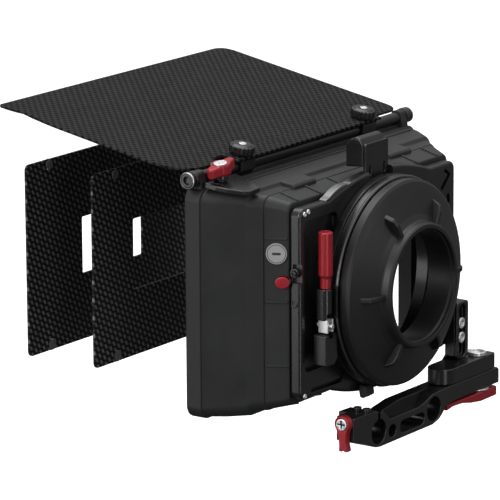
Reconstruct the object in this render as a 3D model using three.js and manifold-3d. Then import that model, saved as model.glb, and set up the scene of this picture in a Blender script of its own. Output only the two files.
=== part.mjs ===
// Cinema matte box on a swing-away rod arm. Millimetres, +Z up, +Y towards the subject, +X to the operator's right.
// The working frame has the lens axis along Y through x = 0, z = 0 and the back of the stage at y = 0.
// The finished group is shifted so that the origin sits between the two rods.
import * as THREE from 'three';
import { mergeVertices } from 'three/addons/utils/BufferGeometryUtils.js';
import Module from 'manifold-3d';

const wasm = await Module();
wasm.setup();

// ---------- driving dimensions ----------
const GAP = 0.3;                    // clearance between neighbouring pieces
const ROD_R = 7.5;                  // 15 mm support rods
const ROD_X = 30;                   // rods are 60 mm apart
const ROD_Z = -84;                  // rod centres below the lens axis
const ARM = { back: -18.3, front: -0.5 };
const ARM_MID = (ARM.back + ARM.front) / 2;

const HOOD_FRONT = 60.5;            // front rim of the hood
const RIM_BACK = 50;
const CREASE = 29;                  // where the funnel turns in more steeply
const FUNNEL_BACK = 20.8;
const FLANGE_BACK = 8;
const STAGE = { left: -84.5, right: 81, top: 57.5, bottom: -56, depth: 7.7 };
const ARCH = { chord: 54, rise: 9.5 };

const LATCH = { left: -25, right: -16.4 };
const RING = { inner: 57.6, outer: 63.2, back: -10.6, front: -GAP };
const DONUT = { bore: 33, lip: 36.3, rim: 61.5, spigot: 57.2, back: -30.5, front: -11.2 };

const BAR = { y: 55.5, z: 74, r: 3.4, left: -114.8, right: 109.8 };
const FLAG = { hw: 114, length: 143, thick: 1.6, tilt: 10.8, low: 0.2, high: 4.5, knobY: 1.6 };
const MATTE = { hw: 84.8, top: 60, bottom: -58.7, thick: 1.6 };
const MAGNET = { top: 56.6, bottom: -55.3 };
const MATTE_REAR_Y = 149;
const MATTE_FRONT_Y = 198.8;

const BLOCK = { left: 53, right: 100, top: -64, bottom: -73.6, r: 9 };
const POST = { left: 69.7, right: 82.9, back: -9.2, front: -0.4, top: -28.4 };
const PIVOT = { x: 88, y: -12 };

// ---------- materials ----------
function material(colour, roughness, metalness) {
  return new THREE.MeshStandardMaterial({ color: colour, roughness, metalness });
}
const MOULDED = () => material(0x1e1f20, 0.72, 0.0);
const ANODISED = () => material(0x26272a, 0.45, 0.7);
const RED = () => material(0x8e1f2a, 0.4, 0.6);
const STEEL = () => material(0xc9cacc, 0.25, 1.0);
const CARBON = () => material(0x202124, 0.5, 0.1);
const RUBBER = () => material(0x1b1b1c, 0.8, 0.0);
const BADGE_GREY = () => material(0xb4b5b6, 0.5, 0.3);

// ---------- shape helpers ----------
function solid(geometry) {
  const plain = geometry.clone();
  plain.deleteAttribute('normal');
  plain.deleteAttribute('uv');
  const merged = mergeVertices(plain, 1e-4);
  const mesh = new wasm.Mesh({
    numProp: 3,
    vertProperties: new Float32Array(merged.attributes.position.array),
    triVerts: new Uint32Array(merged.index.array),
  });
  return new wasm.Manifold(mesh);
}

function geometryOf(manifold) {
  const mesh = manifold.getMesh();
  const geometry = new THREE.BufferGeometry();
  geometry.setAttribute('position', new THREE.BufferAttribute(new Float32Array(mesh.vertProperties), 3));
  geometry.setIndex(new THREE.BufferAttribute(new Uint32Array(mesh.triVerts), 1));
  geometry.computeVertexNormals();
  return geometry;
}

function join(...pieces) {
  return pieces.reduce((sum, piece) => sum.add(piece));
}

function cut(body, ...tools) {
  return tools.reduce((left, tool) => left.subtract(tool), body);
}

function outline(points) {
  return new THREE.Shape(points.map(([u, v]) => new THREE.Vector2(u, v)));
}

function roundedRect(u0, v0, u1, v1, r) {
  const shape = new THREE.Shape();
  shape.moveTo(u0 + r, v0);
  shape.lineTo(u1 - r, v0);
  shape.absarc(u1 - r, v0 + r, r, -Math.PI / 2, 0, false);
  shape.lineTo(u1, v1 - r);
  shape.absarc(u1 - r, v1 - r, r, 0, Math.PI / 2, false);
  shape.lineTo(u0 + r, v1);
  shape.absarc(u0 + r, v1 - r, r, Math.PI / 2, Math.PI, false);
  shape.lineTo(u0, v0 + r);
  shape.absarc(u0 + r, v0 + r, r, Math.PI, 1.5 * Math.PI, false);
  return shape;
}

function extrude(shape, depth, segments) {
  return new THREE.ExtrudeGeometry(shape, { depth, bevelEnabled: false, curveSegments: segments, steps: 1 });
}

// outline given as (x, z), swept along Y
function alongY(shape, y0, y1, segments = 3) {
  return extrude(shape, y1 - y0, segments).rotateX(Math.PI / 2).translate(0, y1, 0);
}

// outline given as (y, z), swept along X
function alongX(shape, x0, x1, segments = 3) {
  const turn = new THREE.Matrix4().makeBasis(
    new THREE.Vector3(0, 1, 0),
    new THREE.Vector3(0, 0, 1),
    new THREE.Vector3(1, 0, 0),
  );
  return extrude(shape, x1 - x0, segments).applyMatrix4(turn).translate(x0, 0, 0);
}

// outline given as (x, y), swept along Z
function alongZ(shape, z0, z1, segments = 3) {
  return extrude(shape, z1 - z0, segments).translate(0, 0, z0);
}

function box(x0, x1, y0, y1, z0, z1) {
  return new THREE.BoxGeometry(x1 - x0, y1 - y0, z1 - z0)
    .translate((x0 + x1) / 2, (y0 + y1) / 2, (z0 + z1) / 2);
}

function rodX(r, x0, x1, y, z, sides = 24) {
  return new THREE.CylinderGeometry(r, r, x1 - x0, sides).rotateZ(Math.PI / 2).translate((x0 + x1) / 2, y, z);
}

function rodY(r, y0, y1, x, z, sides = 24) {
  return new THREE.CylinderGeometry(r, r, y1 - y0, sides).translate(x, (y0 + y1) / 2, z);
}

function rodZ(r, z0, z1, x, y, sides = 24) {
  return new THREE.CylinderGeometry(r, r, z1 - z0, sides).rotateX(Math.PI / 2).translate(x, y, (z0 + z1) / 2);
}

function lathe(points, sides) {
  return new THREE.LatheGeometry(points.map(([r, y]) => new THREE.Vector2(r, y)), sides);
}

// rounded block whose cross-section changes linearly from one end to the other along Y
function funnel(near, far) {
  const shape = roundedRect(-near.hw, near.bottom, near.hw, near.top, near.r);
  const geometry = alongY(shape, far.y, near.y, 4);
  const position = geometry.attributes.position;
  const scaleX = far.hw / near.hw;
  const scaleZ = (far.top - far.bottom) / (near.top - near.bottom);
  for (let i = 0; i < position.count; i += 1) {
    if (Math.abs(position.getY(i) - far.y) < 1e-3) {
      position.setX(i, position.getX(i) * scaleX);
      position.setZ(i, far.bottom + (position.getZ(i) - near.bottom) * scaleZ);
    }
  }
  return geometry;
}

function section(y, hw, hh, r) {
  return { y, hw, top: hh, bottom: -hh, r };
}

function star(radius, depth, lobes) {
  const points = [];
  for (let i = 0; i < lobes * 2; i += 1) {
    const angle = (i / (lobes * 2)) * 2 * Math.PI;
    const r = radius - (i % 2 ? depth : 0);
    points.push([r * Math.cos(angle), r * Math.sin(angle)]);
  }
  return outline(points);
}

function part(name, shape, look) {
  const geometry = shape.isBufferGeometry ? shape : geometryOf(shape);
  const mesh = new THREE.Mesh(geometry, look);
  mesh.name = name;
  return mesh;
}

// ---------- hood ----------
const SIDE_ANGLE = Math.atan2(6.2, 12.8);          // the flange leans in towards the back
const FLANGE = { front: 90.8, back: 84.6 };
const BUTTON = { y: 11, z: 14 };                   // release button in the left flange

function flangeX(y) {
  const share = (y - FLANGE_BACK) / (FUNNEL_BACK - FLANGE_BACK);
  return FLANGE.back + share * (FLANGE.front - FLANGE.back);
}

function hoodShell() {
  const outside = join(
    solid(funnel(section(HOOD_FRONT, 114, 68.6, 8), section(RIM_BACK, 114, 68.6, 8))),
    solid(funnel(section(RIM_BACK + 0.01, 112.6, 67.6, 7), section(CREASE, 98.2, 67.2, 7))),
    solid(funnel(section(CREASE + 0.01, 98.2, 67.2, 7), section(FUNNEL_BACK, 91.6, 64, 7))),
    solid(funnel(section(FUNNEL_BACK + 0.01, FLANGE.front, 63.4, 6), section(FLANGE_BACK, FLANGE.back, 60, 5))),
  );
  const inside = join(
    solid(funnel(section(HOOD_FRONT + 1, 111.2, 65.8, 5.5), section(RIM_BACK - 0.5, 111.2, 65.8, 5.5))),
    solid(funnel(section(RIM_BACK, 110, 65, 5), section(CREASE - 0.01, 95.4, 64.4, 5))),
    solid(funnel(section(CREASE, 95.4, 64.4, 5), section(FUNNEL_BACK, 89, 61.4, 5))),
    solid(alongY(roundedRect(-81, -55.6, 81, 55.6, 3), FLANGE_BACK - 1, FUNNEL_BACK + 1)),
  );
  let body = cut(outside, inside);
  const RIBS = [-74.5, -51, -26.5, 26.5, 51, 74.5];
  for (const x of RIBS) {
    for (const side of [1, -1]) {
      const rib = outline([[8.4, side * 58], [8.4, side * 60.9], [20.6, side * 64.2], [20.6, side * 61]]);
      body = body.add(solid(alongX(rib, x - 0.7, x + 0.7)));
    }
  }
  for (const z of [39.5, 2, -36]) {
    for (const side of [1, -1]) {
      const rib = outline([[side * 83.5, 8.4], [side * 86.3, 8.4], [side * 91.5, 20.6], [side * 88, 20.6]]);
      body = body.add(solid(alongZ(rib, z - 0.7, z + 0.7)));
    }
  }
  const ridge = solid(box(-100, 100, 43.4, 44.8, 66.5, 68.3));
  const groove = solid(box(-104, 104, 46, 48.4, 66.6, 70));
  const buttonHole = solid(rodX(4.9, -3, 12, 0, 0, 16).rotateZ(SIDE_ANGLE).translate(-flangeX(BUTTON.y), BUTTON.y, BUTTON.z));
  body = cut(body.add(ridge), groove, buttonHole);
  for (const [x0, x1] of [[-100, -72], [-55.5, 55.5], [72, 100]]) {
    body = body.add(solid(box(x0, x1, BAR.y - 2.1, BAR.y + 2.1, 67.2, BAR.z - BAR.r - GAP)));
  }
  const ear = outline([[50.4, 68], [50.8, 72], [BAR.y - 3, BAR.z + 4.4], [BAR.y + 3, BAR.z + 4.4], [60, 72], [60.2, 68]]);
  for (const x0 of [BAR.left + 3.9, BAR.right - 9.4]) {
    body = body.add(solid(alongX(ear, x0, x0 + 6)));
  }
  body = cut(body, solid(rodX(BAR.r + GAP, -130, 130, BAR.y, BAR.z)));
  return part('hood_shell', body, MOULDED());
}

function sideBadge() {
  const disc = rodX(6.2, -0.9, 0, 0, 0, 32);
  const groove = cut(solid(rodX(5.2, -1.5, -0.6, 0, 0, 32)), solid(rodX(4.5, -2, 0, 0, 0, 32)));
  const mesh = part('side_badge', cut(solid(disc), groove), BADGE_GREY());
  mesh.position.set(-flangeX(14.2) - GAP, 14.2, 30.8);
  mesh.rotation.z = SIDE_ANGLE;
  return mesh;
}

function sideButton() {
  const face = new THREE.CylinderGeometry(4.2, 3.6, 2.6, 12).rotateZ(Math.PI / 2).scale(1, 1.05, 0.86);
  const stem = rodX(3.2, -0.5, 2.4, 0, 0, 16);
  const mesh = part('side_button', join(solid(face.translate(-1.3, 0, 0)), solid(stem)), RED());
  mesh.position.set(-flangeX(BUTTON.y) - GAP, BUTTON.y, BUTTON.z);
  mesh.rotation.z = SIDE_ANGLE;
  return mesh;
}

function buttonSpring() {
  const turns = 2;
  class Helix extends THREE.Curve {
    getPoint(t) {
      const a = t * turns * 2 * Math.PI;
      return new THREE.Vector3(2.3 + t * 1.6, 4.0 * Math.cos(a), 4.0 * Math.sin(a));
    }
  }
  const wire = new THREE.Shape();
  wire.absarc(0, 0, 0.35, 0, 2 * Math.PI, false);
  const coil = new THREE.ExtrudeGeometry(wire, { steps: 24, curveSegments: 3, extrudePath: new Helix() });
  const mesh = part('button_spring', solid(coil), STEEL());
  mesh.position.set(-flangeX(BUTTON.y) - GAP, BUTTON.y, BUTTON.z);
  mesh.rotation.z = SIDE_ANGLE;
  return mesh;
}

function hingeBar() {
  return part('hinge_bar', rodX(BAR.r, BAR.left, BAR.right, BAR.y, BAR.z, 24), ANODISED());
}

function hingeCollar(side) {
  const name = side < 0 ? 'hinge_collar_left' : 'hinge_collar_right';
  const x0 = side < 0 ? BAR.left + 0.4 : BAR.right - 3;
  const ring = cut(
    solid(rodX(4.9, x0, x0 + 3, BAR.y, BAR.z, 28)),
    solid(rodX(BAR.r + GAP, x0 - 1, x0 + 4, BAR.y, BAR.z, 24)),
  );
  return part(name, ring, STEEL());
}

function hingeEndCap(side) {
  const name = side < 0 ? 'hinge_end_cap_left' : 'hinge_end_cap_right';
  const x0 = side < 0 ? BAR.left - 3.3 : BAR.right + 0.3;
  const outer = side < 0 ? x0 : x0 + 3;
  const cap = cut(
    solid(rodX(4.7, x0, x0 + 3, BAR.y, BAR.z, 24)),
    solid(rodX(2, outer - 2, outer + 2, BAR.y, BAR.z, 6)),
  );
  return part(name, cap, ANODISED());
}

// ---------- tilt lock on the hood's left corner ----------
const TILT_KNOB = { x: -98, y: 45.5 };

function tiltLockPlate() {
  const plan = outline([
    [-112, 24], [-104, 20.5], [-96, 22], [-88, 33], [-79, 47.5], [-79, 49.4], [-112, 49.4],
  ]);
  const body = cut(
    solid(alongZ(plan, 69.0, 72.2)),
    solid(rodZ(2.6, 68, 74, TILT_KNOB.x, TILT_KNOB.y, 16)),
    solid(alongZ(roundedRect(-108, 26, -100, 31, 2), 70.8, 74)),
  );
  return part('tilt_lock_plate', body, ANODISED());
}

function tiltLockKnob() {
  const wing = new THREE.Shape();
  wing.absarc(0, 0, 5.8, 0.73, Math.PI - 0.73, false);
  wing.absarc(-8.4, 0, 2.9, 0.7 * Math.PI, 1.3 * Math.PI, false);
  wing.absarc(0, 0, 5.8, Math.PI + 0.73, 2 * Math.PI - 0.73, false);
  wing.absarc(8.4, 0, 2.9, -0.3 * Math.PI, 0.3 * Math.PI, false);
  const body = join(
    solid(alongZ(wing, 76.6, 82.8, 6)),
    solid(rodZ(5.0, 72.6, 77, 0, 0, 24)),
    solid(rodZ(2.2, 69.6, 73.5, 0, 0, 16)),
  );
  const mesh = part('tilt_lock_knob', cut(body, solid(rodZ(3.2, 82, 84, 0, 0, 24))), RED());
  mesh.position.set(TILT_KNOB.x, TILT_KNOB.y, 0);
  return mesh;
}

function tiltLockScrew() {
  const head = cut(solid(rodZ(2.9, 82.3, 83.4, 0, 0, 20)), solid(box(-2, 2, -0.4, 0.4, 82.8, 85)));
  const mesh = part('tilt_lock_screw', head, STEEL());
  mesh.position.set(TILT_KNOB.x, TILT_KNOB.y, 0);
  return mesh;
}

// ---------- top flag ----------
// the flag group turns about the bar; its own frame has the bar at the origin and the sheet along +Y
function topFlag() {
  const w = FLAG.hw;
  const back = 7.3;
  const tab = 76;
  const sheet = new THREE.Shape();
  sheet.moveTo(-w + 22, back);
  sheet.lineTo(w - 8, back);
  sheet.quadraticCurveTo(w, back + 0.5, w, back + 10);
  sheet.lineTo(w, FLAG.length - 16);
  sheet.quadraticCurveTo(w, FLAG.length, w - 16, FLAG.length);
  sheet.lineTo(-w + 1.5, FLAG.length);
  sheet.quadraticCurveTo(-w - 0.5, FLAG.length - 6, -w + 5, FLAG.length - 14);
  sheet.quadraticCurveTo(-w, FLAG.length - 22, -w, FLAG.length - 34);
  sheet.lineTo(-w, back + 26);
  sheet.quadraticCurveTo(-w, back, -w + 22, back);
  const { low, high, thick } = FLAG;
  const joggle = outline([
    [-4.6, high], [-4.6, high + thick], [7.6, high + thick], [12.4, low + thick], [14, low + thick], [14, low], [11.6, low], [6.8, high],
  ]);
  const holes = [-1, 1].map((s) => solid(rodZ(2.6, 0, 9, s * 63.7, FLAG.knobY, 16)));
  const body = join(solid(alongZ(sheet, low, low + thick, 6)), solid(alongX(joggle, -tab, tab)));
  const step = solid(box(-tab + 0.01, tab - 0.01, 0, 11.5, low - 1, low + thick + 0.2));
  const under = outline([[-5, high + thick + 1], [-5, high], [6.8, high], [11.6, low], [11.6, high + thick + 1]]);
  const clear = step.subtract(solid(alongX(under, -tab - 1, tab + 1)));
  return part('top_flag', cut(body, clear, ...holes), CARBON());
}

function flagClamp(side) {
  const name = side < 0 ? 'flag_clamp_left' : 'flag_clamp_right';
  const profile = new THREE.Shape();
  profile.moveTo(-5.1, -0.8);
  profile.absarc(0, 0, 5.2, Math.PI * 1.05, 1.95 * Math.PI, false);
  profile.lineTo(5.8, FLAG.high - GAP);
  profile.lineTo(-4.6, FLAG.high - GAP);
  const body = cut(
    solid(alongX(profile, -7, 7, 10)),
    solid(rodX(BAR.r + 0.25, -9, 9, 0, 0, 24)),
    solid(box(-9, 9, -0.5, 0.5, -8, -3)),
  );
  const mesh = part(name, body, ANODISED());
  mesh.position.x = side * 63.7;
  return mesh;
}

function flagKnob(side) {
  const name = side < 0 ? 'flag_knob_left' : 'flag_knob_right';
  const z0 = FLAG.high + FLAG.thick + GAP;
  const body = join(
    solid(alongZ(star(7.6, 0.7, 18), z0 + 0.8, z0 + 5.2)),
    solid(rodZ(6.2, z0, z0 + 1, 0, 0, 24)),
    solid(new THREE.CylinderGeometry(5.4, 6.9, 1.2, 24).rotateX(Math.PI / 2).translate(0, 0, z0 + 5.6)),
    solid(rodZ(2.2, FLAG.high + 0.1, z0 + 1, 0, 0, 16)),
  );
  const dish = solid(rodZ(2.4, z0 + 5.5, z0 + 8, 0, 0, 20));
  const mesh = part(name, cut(body, dish), ANODISED());
  mesh.position.set(side * 63.7, FLAG.knobY, 0);
  return mesh;
}

function flagKnobDisc(side) {
  const name = side < 0 ? 'flag_knob_disc_left' : 'flag_knob_disc_right';
  const z0 = FLAG.high + FLAG.thick + 5.8 + GAP;
  const mesh = part(name, rodZ(2.1, z0, z0 + 0.7, 0, 0, 20), STEEL());
  mesh.position.set(side * 63.7, FLAG.knobY, 0);
  return mesh;
}

function flagGroup() {
  const group = new THREE.Group();
  group.position.set(0, BAR.y, BAR.z);
  group.rotation.x = THREE.MathUtils.degToRad(FLAG.tilt);
  group.add(topFlag());
  for (const side of [-1, 1]) {
    group.add(flagClamp(side), flagKnob(side), flagKnobDisc(side));
  }
  return group;
}

// ---------- hard mattes ----------
function hardMatte(name, y, window) {
  const plate = solid(alongY(roundedRect(-MATTE.hw, MATTE.bottom, MATTE.hw, MATTE.top, 3.5), y, y + MATTE.thick));
  const opening = solid(alongY(roundedRect(-window.hw, window.bottom, window.hw, window.top, 1), y - 1, y + 4));
  const holes = [];
  for (const side of [-1, 1]) {
    holes.push(solid(rodY(2.1, y - 1, y + 4, side * 62.2, MAGNET.top, 12)));
    holes.push(solid(rodY(2.1, y - 1, y + 4, side * 62.2, MAGNET.bottom, 12)));
  }
  return part(name, cut(plate, opening, ...holes), CARBON());
}

function matteMagnet(name, y, x, z) {
  return part(name, rodY(1.8, y - 0.3, y + MATTE.thick, x, z, 14), STEEL());
}

function mattes() {
  const rear = hardMatte('matte_wide', MATTE_REAR_Y, { hw: 45.1, bottom: -17.6, top: 26 });
  const front = hardMatte('matte_tele', MATTE_FRONT_Y, { hw: 30.7, bottom: -17.2, top: 18.3 });
  const all = [rear, front];
  for (const [plate, y] of [['wide', MATTE_REAR_Y], ['tele', MATTE_FRONT_Y]]) {
    for (const [place, z] of [['top', MAGNET.top], ['bottom', MAGNET.bottom]]) {
      all.push(matteMagnet(`matte_${plate}_magnet_${place}_left`, y, -62.2, z));
      all.push(matteMagnet(`matte_${plate}_magnet_${place}_right`, y, 62.2, z));
    }
  }
  return all;
}

// ---------- stage ----------
function archOutline() {
  const { left, right, top, bottom } = STAGE;
  const r = 5;
  const shape = new THREE.Shape();
  shape.moveTo(left + r, bottom);
  shape.lineTo(-ARCH.chord, bottom);
  shape.quadraticCurveTo(0, bottom - 2 * ARCH.rise, ARCH.chord, bottom);
  shape.lineTo(right - r, bottom);
  shape.absarc(right - r, bottom + r, r, -Math.PI / 2, 0, false);
  shape.lineTo(right, top - r);
  shape.absarc(right - r, top - r, r, 0, Math.PI / 2, false);
  shape.lineTo(ARCH.chord, top);
  shape.quadraticCurveTo(0, top + 2 * ARCH.rise, -ARCH.chord, top);
  shape.lineTo(left + r, top);
  shape.absarc(left + r, top - r, r, Math.PI / 2, Math.PI, false);
  shape.lineTo(left, bottom + r);
  shape.absarc(left + r, bottom + r, r, Math.PI, 1.5 * Math.PI, false);
  return shape;
}

function bentSlot(points, width, y0, y1) {
  let body = null;
  for (let i = 0; i + 1 < points.length; i += 1) {
    const [ax, az] = points[i];
    const [bx, bz] = points[i + 1];
    const length = Math.hypot(bx - ax, bz - az);
    const bar = alongY(roundedRect(-width / 2, -width / 2, length + width / 2, width / 2, width / 2 - 0.01), y0, y1, 4)
      .rotateY(-Math.atan2(bz - az, bx - ax))
      .translate(ax, 0, az);
    body = body ? body.add(solid(bar)) : solid(bar);
  }
  return body;
}

function stageFrame() {
  const plate = solid(alongY(archOutline(), 0, STAGE.depth, 8));
  const sleeve = solid(alongY(roundedRect(-77.6, -55, 77.6, 55, 2.5), STAGE.depth - 0.5, FUNNEL_BACK - 0.4));
  const sleeveHole = solid(alongY(roundedRect(-75.6, -52.8, 75.6, 52.8, 2), STAGE.depth - 1.2, FUNNEL_BACK + 1));
  const aperture = solid(rodY(50.6, -1, 12, 0, 0, 48));
  const recess = solid(alongY(roundedRect(-80.5, -40, -46, 50, 4), -1, 3.4));
  const cheek = solid(rodX(2.9, -85.7, -82.5, 3.9, 19.7, 24));
  const lowerSlot = bentSlot([[-74, -51.3], [-55, -51.9], [-43, -52.2], [-40.5, -46.5]], 3, -1, 2.6);
  const upperSlot = bentSlot([[65.5, 41.8], [74.6, 50.2], [69, 53.2]], 3, -1, 2.6);
  const sideSlot = bentSlot([[73, 38.2], [74, 32.4]], 3, -1, 2.6);
  const buttonRelief = solid(rodX(4.9, -88, -78.5, BUTTON.y, BUTTON.z, 20));
  const screwHoles = [
    solid(rodX(1.6, -88, -82, 4.2, 1.3, 14)),
    solid(rodX(2.0, -88, -84.6, 3.6, 19.7, 14)),
    solid(rodY(2.2, -1, 5, 76.3, -41.9, 14)),
    solid(rodY(2.2, -1, 5, 76.3, -52.3 + 1.4, 14)),
  ];
  const towerPad = solid(box(-12.3, 12.3, -1, 9, 61.7, 70));
  const stripSeat = outline([[-56, 54.4], [-29, 63.4], [-29, 70], [-56, 70]]);
  let body = join(plate, sleeve, cheek);
  body = cut(body, solid(alongY(stripSeat, -1, 4.8)), sleeveHole, aperture, recess, lowerSlot, upperSlot, sideSlot, towerPad, buttonRelief, ...screwHoles);
  return part('stage_frame', body, ANODISED());
}

function filterTray(name, y) {
  const frame = cut(
    solid(alongY(roundedRect(-75.2, -52.4, 75.2, 52.4, 2), y, y + 5.4, 3)),
    solid(alongY(roundedRect(-69, -48, 69, 48, 2), y - 1, y + 7, 3)),
    solid(alongY(roundedRect(-72.2, -51.0, 72.2, 51.0, 1), y + 1.2, y + 4.2, 2)),
  );
  return part(name, frame, MOULDED());
}

function clampRing() {
  const profile = [
    [RING.inner, RING.front],
    [RING.inner, RING.back],
    [RING.outer - 1.2, RING.back],
    [RING.outer, RING.back + 1.2],
    [RING.outer, -6.6],
    [RING.outer - 1.3, -6.1],
    [RING.outer - 1.3, -5.1],
    [RING.outer, -4.6],
    [RING.outer, RING.front],
    [RING.inner, RING.front],
  ];
  const gap = solid(box(-70, -50, -12, 1, 1, 4));
  const latchNotch = solid(box(LATCH.left - 0.5, LATCH.right + 0.5, -12, 1, -68, -57));
  return part('clamp_ring', cut(solid(lathe(profile, 44)), gap, latchNotch), ANODISED());
}

function donutRing() {
  const { bore, lip, rim, spigot, back, front } = DONUT;
  const profile = [
    [bore, front],
    [bore, -27.6],
    [bore + 0.9, -28.2],
    [bore + 0.9, back],
    [lip, back],
    [lip + 1, back + 1.6],
    [lip + 1.6, back + 5.5],
    [41.6, -23.2],
    [56.2, -18.9],
    [58.4, -17.6],
    [rim, -15.8],
    [rim, front],
    [spigot, front],
    [spigot, -2.4],
    [bore, -2.4],
    [bore, front],
  ];
  const ring = solid(lathe(profile, 44));
  const inner = solid(lathe([[36, 1], [36, -21.6], [52.6, -17], [54.4, -15.4], [54.4, 1], [36, 1]], 32));
  const tubeEnd = solid(rodY(36.5, -11.6, 1, 0, 0, 32));
  let body = cut(ring, inner, tubeEnd);
  for (let k = 0; k < 6; k += 1) {
    const fin = outline([
      [36.8, -27.4],
      [46, -27],
      [50, -25.4],
      [52, -19],
      [40, -21.4],
      [37, -22],
    ]);
    const slab = extrude(fin, 2.2, 2).translate(0, 0, -1.1).rotateY((k * Math.PI) / 3);
    body = body.add(solid(slab));
  }
  return part('donut_ring', body, RUBBER());
}

function archStrip() {
  const strip = outline([[-54.6, 55.2], [-54.4, 57.2], [-30.8, 65.2], [-30.6, 63.2]]);
  return part('arch_strip', alongY(strip, 0.4, 4.6), STEEL());
}

function topLatchHousing() {
  const profile = outline([
    [5.4, 69], [5.4, 82.2], [7.4, 85.6], [10.6, 86.4], [14.2, 85], [17.4, 81.2], [17.4, 68],
  ]);
  const block = solid(alongX(profile, -11.8, 11.8));
  const hollow = solid(box(-8.4, 8.4, 4, 8.6, 67, 79));
  return part('top_latch_housing', cut(block, hollow), ANODISED());
}

function topLatchPlate() {
  const face = roundedRect(-12, 62, 12, 82.8, 1.5);
  const slots = [-7.5, 7.5].map((x) => solid(alongY(roundedRect(x - 1.1, 63.4, x + 1.1, 69.2, 1.05), 2, 7)));
  return part('top_latch_plate', cut(solid(alongY(face, 3.0, 5.1)), ...slots), ANODISED());
}

function bottomLatch() {
  const profile = outline([[-5.2, -59.6], [-0.7, -58.9], [-0.6, -63], [-1.2, -66.6], [-3.4, -67.2], [-6.2, -65.4], [-5.8, -62]]);
  return part('bottom_latch', alongX(profile, LATCH.left, LATCH.right), MOULDED());
}

function cornerScrew(name, x, z) {
  const head = cut(solid(rodY(1.7, -0.9, -0.25, x, z, 18)), solid(rodY(0.8, -1.5, -0.6, x, z, 6)));
  return part(name, head, STEEL());
}

function cheekScrew() {
  return part('cheek_screw', cut(
    solid(rodX(1.7, -87.2, -85.4, 3.6, 19.7, 18)),
    solid(rodX(0.8, -88, -86.7, 3.6, 19.7, 6)),
  ), ANODISED());
}

// ---------- ring lock on the left of the donut ----------
const LOCK = { x: -69.3, y: -7.2 };

function ringLockLever() {
  const profile = [
    [0, 41.5], [2.0, 41.5], [2.0, 42.9], [3.6, 42.9], [4.2, 42.2], [4.2, 17.4], [3.1, 15.6], [3.1, 9.5], [0, 9.5],
  ];
  const tube = lathe(profile.slice().reverse(), 24).rotateX(Math.PI / 2);
  const mesh = part('ring_lock_lever', solid(tube), RED());
  mesh.position.set(LOCK.x, LOCK.y, 0);
  return mesh;
}

function ringLockBarrel() {
  const body = join(
    solid(rodZ(3.8, -9.4, 9.2, LOCK.x, LOCK.y, 24)),
    solid(box(LOCK.x - 3.6, LOCK.x + 3.6, LOCK.y, LOCK.y + 3.6, -9.4, 9.2)),
  );
  return part('ring_lock_barrel', cut(body, solid(box(-72, -66.6, -9, -4.8, -10, -5.2))), ANODISED());
}

function ringLockIndexPlate() {
  const plate = solid(box(-65.1, -63.9, -12.2, -5.2, -9, 10.6));
  return part('ring_lock_index_plate', cut(plate, solid(rodX(1.2, -66, -63, -8.8, -2.5, 14))), ANODISED());
}

function ringLockPivot() {
  const body = join(
    solid(rodY(2.0, -12.6, -2, LOCK.x, -12.6, 20)),
    solid(rodZ(1.2, -13, -9.7, LOCK.x, -5, 14)),
  );
  return part('ring_lock_pivot', body, STEEL());
}

function ringLockBase() {
  const profile = outline([[-75, -17.5], [-63.6, -17.5], [-62.6, -33], [-66, -36], [-75, -36]]);
  const body = cut(
    solid(alongY(profile, -11, -2.6)),
    solid(box(-71.6, -67, -12, -0.1, -20, -16.8)),
    solid(rodX(2.2, -66, -60, -6.5, -26, 14)),
  );
  return part('ring_lock_base', body, ANODISED());
}

function ringLockScrew() {
  const head = cut(solid(rodX(1.9, -65.7, -61.4, -6.5, -26, 18)), solid(box(-62.2, -61, -9, -4, -26.4, -25.6)));
  return part('ring_lock_screw', head, STEEL());
}

// ---------- swing block and height post ----------
function swingBlock() {
  const plan = new THREE.Shape();
  plan.moveTo(BLOCK.left, ARM.back);
  plan.lineTo(BLOCK.right - 1.5, ARM.back);
  plan.lineTo(BLOCK.right, ARM.back + 1.5);
  plan.lineTo(BLOCK.right, ARM.front - 4);
  plan.absarc(BLOCK.right - 4, ARM.front - 4, 4, 0, Math.PI / 2, false);
  plan.lineTo(BLOCK.left, ARM.front);
  plan.absarc(BLOCK.left, ARM_MID, (ARM.front - ARM.back) / 2, Math.PI / 2, 1.5 * Math.PI, false);
  const body = cut(
    solid(alongZ(plan, BLOCK.bottom, BLOCK.top, 10)),
    solid(rodZ(4.3, BLOCK.bottom - 1, BLOCK.top + 1, PIVOT.x, PIVOT.y, 28)),
  );
  return part('swing_block', body, ANODISED());
}

function heightPost() {
  const face = roundedRect(POST.left, BLOCK.top + GAP, POST.right, POST.top, 2.2);
  const slot = roundedRect(74, BLOCK.top + 2.4, 78.6, -31.2, 2.2);
  const counter = roundedRect(72.6, BLOCK.top + 1.2, 80, -30, 3.4);
  const low = BLOCK.bottom + GAP;
  const step = BLOCK.top + GAP;
  const ahead = ARM.front + GAP;
  const foot = alongX(outline([
    [POST.front - 0.6, step], [ahead, step], [ahead, low], [5.6, low], [5.6, -70.8], [POST.front - 0.6, -60.6],
  ]), POST.left, POST.right);
  const body = cut(
    join(solid(alongY(face, POST.back, POST.front, 4)), solid(foot)),
    solid(alongY(slot, POST.back - 1, POST.front + 1, 5)),
    solid(alongY(counter, POST.back - 1, POST.back + 2.2, 5)),
  );
  return part('height_post', body, ANODISED());
}

function heightScrew(name, z) {
  const body = cut(
    join(
      solid(new THREE.CylinderGeometry(3.4, 3.4, 1.6, 24).translate(76.3, POST.back + 1.1, z)),
      solid(rodY(2.0, POST.back + 1.5, 3.6, 76.3, z, 16)),
    ),
    solid(rodY(1.4, POST.back - 1, POST.back + 1.3, 76.3, z, 6)),
  );
  return part(name, body, STEEL());
}

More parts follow.
